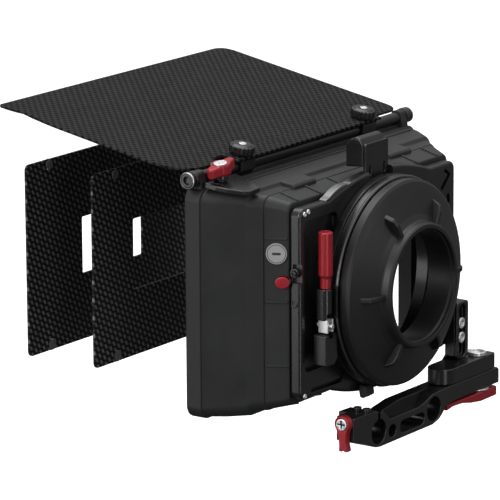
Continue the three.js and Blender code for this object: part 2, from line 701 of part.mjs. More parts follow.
function pivotBolt() {
  const { x, y } = PIVOT;
  const body = join(
    solid(rodZ(5.8, BLOCK.top + GAP, BLOCK.top + 1.9, x, y, 36)),
    solid(rodZ(4, -80, BLOCK.top + 0.5, x, y, 24)),
  );
  const dish = solid(rodZ(4.3, BLOCK.top + 1.1, BLOCK.top + 4, x, y, 28));
  return part('pivot_bolt', cut(body, dish), STEEL());
}

// ---------- rod arm ----------
const JAW_SCREW_X = -38.5;
const JAW_SCREW_Y = [-15.2, -8.8];
const CLAMP_PIN = { y: -13.2, z: -73 };

function rodArm() {
  const back = outline([
    [-57, -70.8], [-56.2, -70], [-34, -70.6], [-31.8, -71.6], [-24, -73.8], [-17.5, -79], [13, -79],
    [20, -77.6], [29, -74.4], [47, -73.9], [102, -73.9], [103.8, -75.4], [103.8, -83.9], [54, -83.9],
    [43, -85], [40.5, -88.4], [36, -91.6], [29, -93.4], [-28, -93.6], [-33, -93], [-44, -88.2], [-57, -84.4],
  ]);
  const shelf = outline([[-14, -79.4], [-12, -76.2], [3, -74], [8, -73.9], [46, -73.9], [46, -80], [-14, -80]]);
  const shelfCut = solid(box(-30, 47, ARM.back - 1, -9, -79, -70));
  const endCut = solid(box(-60, -46, -6.4, 2, -95, -60));
  const jaw = cut(solid(alongY(back, ARM.back, ARM.front)), endCut);
  const raised = cut(solid(alongY(shelf, -9, ARM.front)), shelfCut);
  const bores = [-ROD_X, ROD_X].map((x) => solid(rodY(ROD_R, -30, 10, x, ROD_Z, 32)));
  const slit = solid(box(-31, -28.6, -30, 10, ROD_Z, -60));
  const longSlot = solid(alongY(roundedRect(-7.2, -90.6, 19.6, -83, 3.7), -30, 10, 4));
  const shortSlot = solid(alongY(roundedRect(-19.4, -90.6, -11.4, -83, 3.7), -30, 10, 4));
  const pivotHole = solid(rodZ(4.3, -90, -70, PIVOT.x, PIVOT.y, 28));
  const leverHole = solid(rodX(1.8, -60, -44, CLAMP_PIN.y, CLAMP_PIN.z, 16));
  const capHoles = JAW_SCREW_Y.map((y) => solid(rodZ(1.7, -77.4, -60, JAW_SCREW_X, y, 14)));
  const body = cut(join(jaw, raised), ...bores, slit, longSlot, shortSlot, pivotHole, leverHole, ...capHoles);
  return part('rod_arm', body, ANODISED());
}

function jawScrew(name, y) {
  const x = JAW_SCREW_X;
  const head = cut(
    join(solid(rodZ(2.4, -70, -68.2, x, y, 18)), solid(rodZ(1.4, -76.6, -69.6, x, y, 14))),
    solid(rodZ(1.1, -69.2, -67, x, y, 6)),
  );
  return part(name, head, ANODISED());
}

function rodClampLever() {
  const shape = new THREE.Shape();
  shape.absarc(0, 0, 5.0, -0.15 * Math.PI, 1.12 * Math.PI, false);
  shape.lineTo(-5.4, -15.2);
  shape.lineTo(-4.4, -16.4);
  shape.lineTo(0.4, -16.4);
  shape.lineTo(1.4, -15);
  const body = cut(
    solid(alongX(shape, -62.2, -57.4, 10)),
    solid(rodX(3.9, -64, -61, 0, 0, 24)),
    solid(rodX(2.3, -64, -57, 0, 0, 16)),
  );
  const mesh = part('rod_clamp_lever', body, RED());
  mesh.position.set(0, CLAMP_PIN.y, CLAMP_PIN.z);
  return mesh;
}

function rodClampScrew() {
  const body = cut(
    join(solid(rodX(3.6, -62.6, -61.3, 0, 0, 28)), solid(rodX(1.5, -61.5, -44.6, 0, 0, 16))),
    solid(box(-63.4, -62, -2.6, 2.6, -0.4, 0.4)),
    solid(box(-63.4, -62, -0.4, 0.4, -2.6, 2.6)),
  );
  const mesh = part('rod_clamp_screw', body, STEEL());
  mesh.position.set(0, CLAMP_PIN.y, CLAMP_PIN.z);
  return mesh;
}

function swingLockLever() {
  const plan = new THREE.Shape();
  plan.moveTo(46, -17.4);
  plan.lineTo(80, -18.6);
  plan.lineTo(100.4, -18.6);
  plan.lineTo(101.8, -16.6);
  plan.lineTo(101.4, -5.4);
  plan.absarc(PIVOT.x, PIVOT.y, 12.2, 0.5, Math.PI * 0.8, false);
  plan.lineTo(64, -8);
  plan.lineTo(47, -11.2);
  plan.lineTo(45.4, -14);
  const drop = outline([[43, -89.4], [52, -87.6], [62, -87.8], [72, -89.8], [84, -91.2], [103, -90.8], [103, -85.5], [43, -85.5]]);
  const envelope = solid(alongY(drop, -30, 10));
  return part('swing_lock_lever', solid(alongZ(plan, -96, -85.5, 10)).intersect(envelope), RED());
}

function swingLockWasher() {
  const ring = cut(
    solid(rodZ(7.4, -85.2, -84.2, PIVOT.x, PIVOT.y, 28)),
    solid(rodZ(3.2, -86, -84, PIVOT.x, PIVOT.y, 20)),
  );
  return part('swing_lock_washer', ring, STEEL());
}

// ---------- assembly ----------
const kit = new THREE.Group();
kit.name = 'matte_box_kit';
const pieces = new THREE.Group();
pieces.position.set(0, -ARM_MID, -ROD_Z);
pieces.add(
  rodArm(),
  jawScrew('jaw_screw_rear', JAW_SCREW_Y[0]),
  jawScrew('jaw_screw_front', JAW_SCREW_Y[1]),
  rodClampLever(),
  rodClampScrew(),
  swingLockLever(),
  swingLockWasher(),
  pivotBolt(),
  swingBlock(),
  heightPost(),
  heightScrew('height_screw_upper', -41.9),
  heightScrew('height_screw_lower', -50.9),
  stageFrame(),
  filterTray('filter_tray_rear', 8.2),
  filterTray('filter_tray_front', 14.2),
  clampRing(),
  donutRing(),
  archStrip(),
  topLatchHousing(),
  topLatchPlate(),
  bottomLatch(),
  cornerScrew('corner_screw_top_outer', -80.4, 54.2),
  cornerScrew('corner_screw_top_inner', -76.6, 55.0),
  cornerScrew('corner_screw_bottom', -80.6, -53.6),
  cheekScrew(),
  ringLockLever(),
  ringLockBarrel(),
  ringLockIndexPlate(),
  ringLockPivot(),
  ringLockBase(),
  ringLockScrew(),
  hoodShell(),
  sideBadge(),
  sideButton(),
  buttonSpring(),
  hingeBar(),
  hingeCollar(-1),
  hingeCollar(1),
  hingeEndCap(-1),
  hingeEndCap(1),
  tiltLockPlate(),
  tiltLockKnob(),
  tiltLockScrew(),
  flagGroup(),
  ...mattes(),
);
kit.add(pieces);

export default kit;
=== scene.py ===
import math

import bpy
from mathutils import Matrix, Vector
from mathutils.geometry import tessellate_polygon


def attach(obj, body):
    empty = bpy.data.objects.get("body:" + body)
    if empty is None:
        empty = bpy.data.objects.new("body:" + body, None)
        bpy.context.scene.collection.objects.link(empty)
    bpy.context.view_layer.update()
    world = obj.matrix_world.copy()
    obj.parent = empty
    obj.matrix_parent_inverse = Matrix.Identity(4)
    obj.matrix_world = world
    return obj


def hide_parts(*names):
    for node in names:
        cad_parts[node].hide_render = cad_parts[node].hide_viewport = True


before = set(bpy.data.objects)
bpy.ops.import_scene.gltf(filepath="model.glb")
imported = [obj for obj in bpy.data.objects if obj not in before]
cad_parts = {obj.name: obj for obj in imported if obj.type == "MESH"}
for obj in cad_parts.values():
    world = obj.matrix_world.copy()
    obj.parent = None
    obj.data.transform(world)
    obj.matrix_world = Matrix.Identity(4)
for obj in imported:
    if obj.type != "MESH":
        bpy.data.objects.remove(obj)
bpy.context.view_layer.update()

# ---------------------------------------------------------------- frames and sizes, millimetres
# The drawing frame has the lens axis along Y through x = 0, z = 0 and the back of the stage at y = 0.
# SHIFT carries it to the row frame, which has its origin midway between the two rods.
SHIFT = Vector((0.0, 9.4, 84.0))
MM = 0.001
X, Y, Z = Vector((1, 0, 0)), Vector((0, 1, 0)), Vector((0, 0, 1))

ROD_R, ROD_X, ROD_Z = 7.5, 30.0, -84.0
BAR_Y, BAR_Z, BAR_R, BAR_LEFT, BAR_RIGHT = 55.5, 74.0, 3.4, -114.8, 109.8
FLAG_TILT, FLAG_HW, FLAG_LENGTH = math.radians(10.8), 114.0, 143.0
SIDE_ANGLE = math.atan2(6.2, 12.8)
LOCK_X, LOCK_Y = -69.3, -7.2
PIVOT_X, PIVOT_Y = 88.0, -12.0
PIN_Y, PIN_Z = -13.2, -73.0
BUTTON_Y, BUTTON_Z = 11, 14
BADGE_Y, BADGE_Z = 14.2, 30.8
TILT_KNOB_X, TILT_KNOB_Y = -98, 45.5
APERTURE_R = 50.6
STAGE_DEPTH = 7.7
CAMERA_FOCAL, CAMERA_PICTURE, SENSOR = 4020.6, 500, 36


# ---------------------------------------------------------------- outlines
def arc(cx, cy, r, a0, a1, n=12):
    """Points on an arc, angles in degrees, both ends included."""
    steps = [math.radians(a0 + (a1 - a0) * i / n) for i in range(n + 1)]
    return [(cx + r * math.cos(a), cy + r * math.sin(a)) for a in steps]


def circle(cx, cy, r, n=64):
    return arc(cx, cy, r, 0, 360 - 360 / n, n - 1)


def rounded(u0, v0, u1, v1, r, n=8):
    return (arc(u1 - r, v0 + r, r, -90, 0, n) + arc(u1 - r, v1 - r, r, 0, 90, n)
            + arc(u0 + r, v1 - r, r, 90, 180, n) + arc(u0 + r, v0 + r, r, 180, 270, n))


def quadratic(a, b, c, n=24):
    made = []
    for i in range(n + 1):
        t = i / n
        made.append(tuple((1 - t) ** 2 * a[k] + 2 * t * (1 - t) * b[k] + t * t * c[k] for k in range(len(a))))
    return made


def fillet(points, radius, n=5, closed=True):
    """Rounds the corners of a polyline. radius is one number, or one for each corner."""
    count = len(points)
    made = []
    for i, corner in enumerate(points):
        r = radius[i] if isinstance(radius, (list, tuple)) else radius
        if r <= 0 or (not closed and i in (0, count - 1)):
            made.append(tuple(corner))
            continue
        before, after = points[i - 1], points[(i + 1) % count]
        here = Vector(corner)
        to_a, to_b = Vector(before) - here, Vector(after) - here
        if to_a.length < 1e-6 or to_b.length < 1e-6:
            made.append(tuple(corner))
            continue
        bend = math.pi - to_a.angle(to_b)
        if bend < 0.02:
            made.append(tuple(corner))
            continue
        reach = min(r * math.tan(bend / 2), 0.48 * to_a.length, 0.48 * to_b.length)
        start = here + to_a.normalized() * reach
        end = here + to_b.normalized() * reach
        made += quadratic(tuple(start), tuple(corner), tuple(end), n)
    return made


def area(loop):
    return sum(a[0] * b[1] - b[0] * a[1] for a, b in zip(loop, loop[1:] + loop[:1])) / 2


def clean(loop):
    kept = []
    for p in loop:
        if not kept or math.hypot(p[0] - kept[-1][0], p[1] - kept[-1][1]) > 1e-4:
            kept.append(p)
    if math.hypot(kept[0][0] - kept[-1][0], kept[0][1] - kept[-1][1]) <= 1e-4:
        kept.pop()
    return kept


def offset(loop, d):
    """Moves each side of the loop by d to its left, which is into the material."""
    made = []
    for i, p in enumerate(loop):
        a, b = Vector(loop[i - 1][:2]), Vector(loop[(i + 1) % len(loop)][:2])
        here = Vector(p[:2])
        n1 = (here - a).normalized()
        n2 = (b - here).normalized()
        l1, l2 = Vector((-n1.y, n1.x)), Vector((-n2.y, n2.x))
        m = l1 + l2
        scale = 2 / max(m.length_squared, 1.2)
        made.append(tuple(here + m * (d * scale)))
    return made


# ---------------------------------------------------------------- solids, as lists of points and faces
class Shape:
    """Points in drawing millimetres, and faces, gathered for one piece."""

    def __init__(self):
        self.points = []
        self.faces = []

    def add(self, points, faces):
        base = len(self.points)
        self.points += [Vector(p) for p in points]
        self.faces += [[base + i for i in face] for face in faces]
        return self

    def join(self, other):
        return self.add(other.points, other.faces)

    def move(self, matrix):
        self.points = [matrix @ p for p in self.points]
        return self


def plate(loops, w0, w1, bevel=0.3, axis="y", steps=3):
    """A flat piece with rounded edges. loops are the outline and its holes,
    given as (x, z), (y, z) or (x, y)."""
    loops = [clean(loop) for loop in loops]
    loops = [loop if (area(loop) > 0) == (k == 0) else loop[::-1] for k, loop in enumerate(loops)]
    place = {"y": lambda u, v, w: (u, w, v), "x": lambda u, v, w: (w, u, v),
             "z": lambda u, v, w: (u, v, w)}[axis]
    levels = []
    for k in range(steps + 1):
        a = math.pi / 2 * k / steps
        levels.append((bevel * (1 - math.sin(a)), w0 + bevel * (1 - math.cos(a))))
    levels += [(inset, w0 + w1 - w) for inset, w in reversed(levels)]
    made = Shape()
    rings = []
    for inset, w in levels:
        row = []
        for loop in loops:
            ring = offset(loop, inset)
            row.append(list(range(len(made.points), len(made.points) + len(ring))))
            made.points += [Vector(place(u, v, w)) for u, v in ring]
        rings.append(row)
    for low, high in zip(rings, rings[1:]):
        for a, b in zip(low, high):
            for i in range(len(a)):
                j = (i + 1) % len(a)
                made.faces.append([a[i], a[j], b[j], b[i]])
    for row in (rings[0], rings[-1]):
        flat = [i for ring in row for i in ring]
        pos = {"y": lambda p: (p.x, p.z, 0), "x": lambda p: (p.y, p.z, 0),
               "z": lambda p: (p.x, p.y, 0)}[axis]
        lists = [[Vector(pos(made.points[i])) for i in ring] for ring in row]
        for tri in tessellate_polygon(lists):
            if len({flat[t] for t in tri}) == 3:
                made.faces.append([flat[t] for t in tri])
    return made


def block(x0, x1, y0, y1, z0, z1, bevel=0.4):
    r = min(bevel, (x1 - x0) * 0.45, (z1 - z0) * 0.45, (y1 - y0) * 0.45)
    return plate([rounded(x0, z0, x1, z1, r, 3)], y0, y1, r * 0.9)


def axes(axis):
    """Two directions across the axis, and the axis at unit length."""
    axis = Vector(axis).normalized()
    side = X if abs(axis.x) < 0.9 else Y
    u = (side - axis * side.dot(axis)).normalized()
    return u, axis.cross(u), axis


def turned(profile, centre, axis, sides=96, closed=False):
    """A turned piece. profile is (radius, distance along the axis); a closed profile makes a ring."""
    u, v, axis = axes(axis)
    centre = Vector(centre)
    made = Shape()
    rows = []
    for r, t in profile:
        if r < 1e-5:
            rows.append([len(made.points)] * sides)
            made.points.append(centre + axis * t)
            continue
        rows.append(list(range(len(made.points), len(made.points) + sides)))
        for k in range(sides):
            a = 2 * math.pi * k / sides
            made.points.append(centre + axis * t + (u * math.cos(a) + v * math.sin(a)) * r)
    pairs = list(zip(rows, rows[1:])) + ([(rows[-1], rows[0])] if closed else [])
    for a, b in pairs:
        for k in range(sides):
            j = (k + 1) % sides
            face = []
            for i in (a[k], a[j], b[j], b[k]):
                if i not in face:
                    face.append(i)
            if len(face) > 2:
                made.faces.append(face)
    return made


def drum(r, t0, t1, centre, axis, edge=0.3, sides=64):
    """A turned pin or disc with rounded rims."""
    edge = min(edge, r * 0.4, (t1 - t0) * 0.4)
    profile = fillet([(0, t0), (r, t0), (r, t1), (0, t1)], [0, edge, edge, 0], 4, closed=False)
    return turned(profile, centre, axis, sides)


def skin(loops):
    """Joins loops of the same length into one surface that closes on itself."""
    made = Shape()
    n, count = len(loops[0]), len(loops)
    for loop in loops:
        made.points += [Vector(p) for p in loop]
    for k in range(count):
        a, b = k * n, ((k + 1) % count) * n
        for i in range(n):
            j = (i + 1) % n
            made.faces.append([a + i, a + j, b + j, b + i])
    return made


def fastener(centre, axis, r, height, drive="hex", dome=0.35, sides=40):
    """A screw head: a rounded rim, a sunk drive recess and its floor. The axis points out of the head."""
    turn = Matrix(axes(axis)).transposed().to_4x4()
    turn.translation = Vector(centre)
    if drive == "hex":
        holes = [arc(0, 0, r * 0.52, 0, 300, 5)]
    elif drive == "slot":
        holes = [rounded(-r * 0.78, -r * 0.13, r * 0.78, r * 0.13, r * 0.1, 3)]
    else:
        w, q = r * 0.14, r * 0.7
        holes = [
            [(w, w), (q, w), (q, -w), (w, -w), (w, -q), (-w, -q), (-w, -w), (-q, -w), (-q, w), (-w, w),
            (-w, q), (w, q)]]
    top = plate([circle(0, 0, r, sides), *holes], height * 0.35, height, min(dome, r * 0.25), "z")
    base = plate([circle(0, 0, r * 0.97, sides)], 0, height * 0.45, 0.05, "z", 1)
    return top.join(base).move(turn)


# ---------------------------------------------------------------- objects
MATERIALS = {}


def build(name, shape, look, body, nodes=(), sharp=40):
    """Makes the piece in row metres, sets its look, and lets it ride on its body
    in place of its CAD nodes."""
    mesh = bpy.data.meshes.new(name)
    mesh.from_pydata([tuple((p + SHIFT) * MM) for p in shape.points], [], shape.faces)
    mesh.validate()
    tidy_mesh(mesh)
    obj = bpy.data.objects.new(name, mesh)
    bpy.context.scene.collection.objects.link(obj)
    dress(obj, MATERIALS[look], sharp)
    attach(obj, body)
    if nodes:
        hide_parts(*nodes)
    return obj


def tidy_mesh(mesh):
    import bmesh
    bm = bmesh.new()
    bm.from_mesh(mesh)
    bmesh.ops.remove_doubles(bm, verts=bm.verts, dist=1e-7)
    bmesh.ops.dissolve_degenerate(bm, edges=bm.edges, dist=1e-7)
    bmesh.ops.recalc_face_normals(bm, faces=bm.faces)
    bm.to_mesh(mesh)
    bm.free()


def dress(obj, look, sharp=40):
    obj.data.materials.clear()
    obj.data.materials.append(look)
    for polygon in obj.data.polygons:
        polygon.use_smooth = True
    obj.data.set_sharp_from_angle(angle=math.radians(sharp))
    weigh = obj.modifiers.new("even_normals", "WEIGHTED_NORMAL")
    weigh.keep_sharp = True
    weigh.weight = 80


def carve(shape, *tools):
    """Cuts the tools out of the shape with Blender's exact boolean, and gives the result as a shape."""
    def to_object(s, name):
        mesh = bpy.data.meshes.new(name)
        mesh.from_pydata([tuple(p) for p in s.points], [], s.faces)
        tidy_mesh(mesh)
        obj = bpy.data.objects.new(name, mesh)
        bpy.context.scene.collection.objects.link(obj)
        return obj

    body = to_object(shape, "carve_body")
    others = [to_object(tool, f"carve_tool_{i}") for i, tool in enumerate(tools)]
    for other in others:
        m = body.modifiers.new("cut", "BOOLEAN")
        m.operation = "DIFFERENCE"
        m.solver = "EXACT"
        m.object = other
    graph = bpy.context.evaluated_depsgraph_get()
    mesh = bpy.data.meshes.new_from_object(body.evaluated_get(graph))
    made = Shape()
    made.points = [v.co.copy() for v in mesh.vertices]
    made.faces = [list(p.vertices) for p in mesh.polygons]
    for obj in [body, *others]:
        data = obj.data
        bpy.data.objects.remove(obj)
        bpy.data.meshes.remove(data)
    bpy.data.meshes.remove(mesh)
    return made


# ---------------------------------------------------------------- materials
class Nodes:
    """Short names for making shader nodes in one material."""

    def __init__(self, name):
        self.material = bpy.data.materials.new(name)
        self.material.use_nodes = True
        self.tree = self.material.node_tree
        self.shader = self.tree.nodes["Principled BSDF"]

    def node(self, kind, **values):
        n = self.tree.nodes.new(kind)
        for key, value in values.items():
            setattr(n, key, value)
        return n

    def link(self, a, b):
        self.tree.links.new(a, b)

    def set(self, **values):
        for key, value in values.items():
            self.shader.inputs[key.replace("_", " ")].default_value = value

    def position(self):
        return self.node("ShaderNodeTexCoord").outputs["Object"]

    def noise(self, where, scale, detail=2.0, rough=0.5):
        n = self.node("ShaderNodeTexNoise")
        self.link(where, n.inputs["Vector"])
        n.inputs["Scale"].default_value = scale
        n.inputs["Detail"].default_value = detail
        n.inputs["Roughness"].default_value = rough
        return n.outputs["Fac"]

    def remap(self, value, low, high, to_low, to_high):
        n = self.node("ShaderNodeMapRange")
        self.link(value, n.inputs["Value"])
        for key, number in (("From Min", low), ("From Max", high), ("To Min", to_low), ("To Max", to_high)):
            n.inputs[key].default_value = number
        return n.outputs["Result"]

    def maths(self, operation, a, b=None, c=None):
        n = self.node("ShaderNodeMath", operation=operation)
        for k, value in enumerate((a, b, c)):
            if value is None:
                continue
            if isinstance(value, (int, float)):
                n.inputs[k].default_value = value
            else:
                self.link(value, n.inputs[k])
        return n.outputs[0]

    def blend(self, share, a, b):
        n = self.node("ShaderNodeMix", data_type="RGBA")
        self.link(share, n.inputs["Factor"])
        for key, value in (("A", a), ("B", b)):
            socket = [s for s in n.inputs if s.name == key and s.type == "RGBA"][0]
            if isinstance(value, tuple):
                socket.default_value = (*value, 1)
            else:
                self.link(value, socket)
        return [s for s in n.outputs if s.type == "RGBA"][0]

    def bump(self, height, distance, strength=1.0):
        n = self.node("ShaderNodeBump")
        self.link(height, n.inputs["Height"])
        n.inputs["Distance"].default_value = distance
        n.inputs["Strength"].default_value = strength
        return n.outputs["Normal"]


def grainy(name, colour, lighter, roughness, spread, grain, depth, **values):
    """A fine-textured surface: mottled colour, uneven roughness and a small bump."""
    m = Nodes(name)
    where = m.position()
    broad = m.noise(where, 38, 3)
    fine = m.noise(where, grain, 2)
    m.link(m.blend(m.remap(broad, 0.3, 0.7, 0, 1), colour, lighter), m.shader.inputs["Base Color"])
    rough = m.maths(
        "ADD", m.remap(broad, 0.3, 0.7, -spread, spread), m.remap(fine, 0.3, 0.7, roughness - spread,
        roughness + spread))
    m.link(rough, m.shader.inputs["Roughness"])
    m.link(m.bump(fine, depth, 1.0), m.shader.inputs["Normal"])
    m.set(**values)
    return m.material


def brushed(name, colour, lighter, roughness, stretch, depth, **values):
    """Machined metal: long fine lines, with a slow change of tone."""
    m = Nodes(name)
    where = m.position()
    mapping = m.node("ShaderNodeMapping")
    m.link(where, mapping.inputs["Vector"])
    mapping.inputs["Scale"].default_value = stretch
    lines = m.noise(mapping.outputs["Vector"], 900, 3, 0.6)
    broad = m.noise(where, 45, 2)
    m.link(m.blend(m.remap(broad, 0.3, 0.7, 0, 1), colour, lighter), m.shader.inputs["Base Color"])
    m.link(m.remap(lines, 0.25, 0.75, roughness * 0.75, roughness * 1.3), m.shader.inputs["Roughness"])
    m.link(m.bump(lines, depth, 0.6), m.shader.inputs["Normal"])
    m.set(**values)
    return m.material


def carbon(name, u_axis, v_axis, tows, dark, light, roughness, relief, width=0.5, reach=1.5, **values):
    """Woven carbon. u_axis and v_axis lie in the sheet, tows is the bundle's pitch along each in metres,
    width is how much of its cell a bundle's crown takes, and reach is its length in cells.
    dark is the colour between the crowns and light the colour on them: the weave is real, the lighter crowns
    are painted sheen standing in for the light the tows reflect."""
    m = Nodes(name)
    where = m.position()

    def along(axis, pitch):
        dot = m.node("ShaderNodeVectorMath", operation="DOT_PRODUCT")
        m.link(where, dot.inputs[0])
        dot.inputs[1].default_value = Vector(axis) / pitch
        return m.maths("ADD", dot.outputs["Value"], 2000)

    def crown(value, half):
        """1 in the middle of a cell or a float, falling smoothly to 0 at half a length from it."""
        fall = m.maths("POWER", m.maths("DIVIDE", value, half), 2)
        return m.maths("SMOOTH_MAX", m.maths("SUBTRACT", 1, fall), 0.0, 0.15)

    u, v = along(u_axis, tows[0]), along(v_axis, tows[1])
    columns = m.maths("FLOOR", u)
    across = m.maths("SUBTRACT", m.maths("SUBTRACT", u, columns), 0.5)
    shifted = m.maths("ADD", v, columns)
    lengthwise = m.maths("SUBTRACT", m.maths("MODULO", shifted, 2), 1)
    warp = m.maths("MULTIPLY", crown(across, width), crown(lengthwise, reach / 2))
    rows = m.maths("FLOOR", v)
    across_b = m.maths("SUBTRACT", m.maths("SUBTRACT", v, rows), 0.5)
    sideways = m.maths("SUBTRACT", m.maths("MODULO", m.maths("ADD", u, rows), 2), 1)
    weft = m.maths("MULTIPLY", crown(across_b, 0.5), crown(sideways, 0.75))
    height = m.maths("MAXIMUM", warp, m.maths("MULTIPLY", weft, 0.55))
    fibres = m.node("ShaderNodeMapping")
    m.link(where, fibres.inputs["Vector"])
    fibres.inputs["Scale"].default_value = (1, 0.1, 0.1)
    strands = m.noise(fibres.outputs["Vector"], 4200, 2)
    broad = m.noise(where, 26, 3)
    uneven = m.noise(where, 170, 2)
    # painted sheen: the warp crowns, and a little of the weft crowns, are made lighter in the base colour
    # where the tows would reflect light
    warp_sheen = m.maths("MULTIPLY", warp, m.remap(uneven, 0.3, 0.7, 0.75, 1.1))
    weave_with_sheen = m.maths(
        "ADD", m.maths("MULTIPLY", warp_sheen, m.remap(strands, 0.3, 0.7, 0.85, 1.0)),
        m.maths("MULTIPLY", weft, 0.12))
    m.link(m.blend(weave_with_sheen, dark, light), m.shader.inputs["Base Color"])
    rough = m.maths(
        "ADD", m.remap(broad, 0.3, 0.7, -0.04, 0.04), m.remap(warp, 0, 1, roughness + 0.08, roughness - 0.02))
    m.link(rough, m.shader.inputs["Roughness"])
    m.link(m.bump(height, relief, 1.0), m.shader.inputs["Normal"])
    m.set(**values)
    return m.material


def flag_axes():
    return (1, 0, 0), (0, math.cos(FLAG_TILT), math.sin(FLAG_TILT))


def make_materials():
    MATERIALS[
        "moulded"] = grainy("moulded_plastic", (0.011, 0.0115, 0.012), (0.017, 0.0175, 0.018), 0.5, 0.05,
        1500, 0.00007, Specular_IOR_Level=0.4)
    MATERIALS[
        "anodised"] = grainy("black_anodised", (0.0055, 0.0057, 0.0062), (0.0085, 0.0088, 0.0094), 0.27, 0.04,
        2600, 0.000006, Metallic=0.0, Specular_IOR_Level=0.6)
    MATERIALS[
        "rubber"] = grainy("black_rubber", (0.0085, 0.0087, 0.009), (0.0115, 0.0117, 0.012), 0.4, 0.04, 1200,
        0.000012, Specular_IOR_Level=0.42)
    MATERIALS[
        "black_steel"] = grainy("black_oxide", (0.008, 0.008, 0.009), (0.013, 0.013, 0.014), 0.32, 0.05, 2200,
        0.00001, Specular_IOR_Level=0.6)
    MATERIALS[
        "red"] = brushed("crimson_anodised", (0.30, 0.014, 0.022), (0.37, 0.019, 0.029), 0.34, (1, 1, 0.08),
        0.00001, Metallic=0.35, Specular_IOR_Level=0.5)
    MATERIALS[
        "steel"] = brushed("machined_steel", (0.78, 0.78, 0.79), (0.88, 0.88, 0.89), 0.34, (1, 0.15, 1),
        0.000002, Metallic=0.85)
    MATERIALS[
        "magnet"] = grainy("nickel_grey", (0.10, 0.10, 0.103), (0.14, 0.14, 0.143), 0.42, 0.05, 1500, 0.00001,
        Metallic=0.0)
    MATERIALS[
        "badge"] = brushed("satin_grey", (0.30, 0.30, 0.305), (0.36, 0.36, 0.365), 0.42, (1, 1, 0.1), 0.00001,
        Metallic=0.2)
    # dark colour for the badge's logo marks, which are print, and for the screw's cross recess, where it is
    # painted shade
    MATERIALS[
        "groove"] = grainy("dark_mark_and_recess_shade", (0.02, 0.02, 0.021), (0.03, 0.03, 0.031), 0.6, 0.05, 1500, 0.00001)
    # the carbon weaves' light colours are painted sheen on the tow crowns, much lighter than the black fibre
    # itself
    fu, fv = flag_axes()
    MATERIALS[
        "carbon_flag"] = carbon("carbon_weave_flag", fu, fv, (0.00262, 0.00262), (0.0025, 0.0025, 0.0026),
        (0.040, 0.0405, 0.041), 0.6, 0.0002, 0.52, 1.7, Specular_IOR_Level=0.06)
    MATERIALS[
        "carbon_matte"] = carbon("carbon_weave_matte", (1, 0, 0.36), (0, 0, 1), (0.0039, 0.00218),
        (0.0022, 0.0022, 0.0023), (0.20, 0.202, 0.205), 0.5, 0.00016, 0.3, 1.5, Specular_IOR_Level=0.18)
    # black flock for the hood's lining, its colour set near zero so that it also paints the shade that falls
    # inside the hood
    MATERIALS[
        "flock_and_shade"] = grainy("black_flock_and_shade", (0.0002, 0.0002, 0.0002), (0.0005, 0.0005, 0.0005), 0.9, 0.03, 2500,
        0.00004, Specular_IOR_Level=0.05)
    MATERIALS[
        "edge"] = brushed("polished_edge", (0.13, 0.13, 0.135), (0.20, 0.20, 0.205), 0.38, (1, 1, 1),
        0.000004, Metallic=1.0)


# ---------------------------------------------------------------- hood
def bent_stations(stations, reach):
    """Rounds the corners of a list of (y, half width, half height, corner radius)."""
    made = [stations[0]]
    for a, b, c in zip(stations, stations[1:], stations[2:]):
        la = math.dist(a, b)
        lc = math.dist(b, c)
        d = min(reach, 0.45 * la, 0.45 * lc)
        start = tuple(b[k] + (a[k] - b[k]) * d / la for k in range(4))
        end = tuple(b[k] + (c[k] - b[k]) * d / lc for k in range(4))
        made += quadratic(start, b, end, 4)
    made.append(stations[-1])
    return made


def section(station):
    y, hw, hh, r = station
    return [(u, y, v) for u, v in rounded(-hw, -hh, hw, hh, r, 12)]


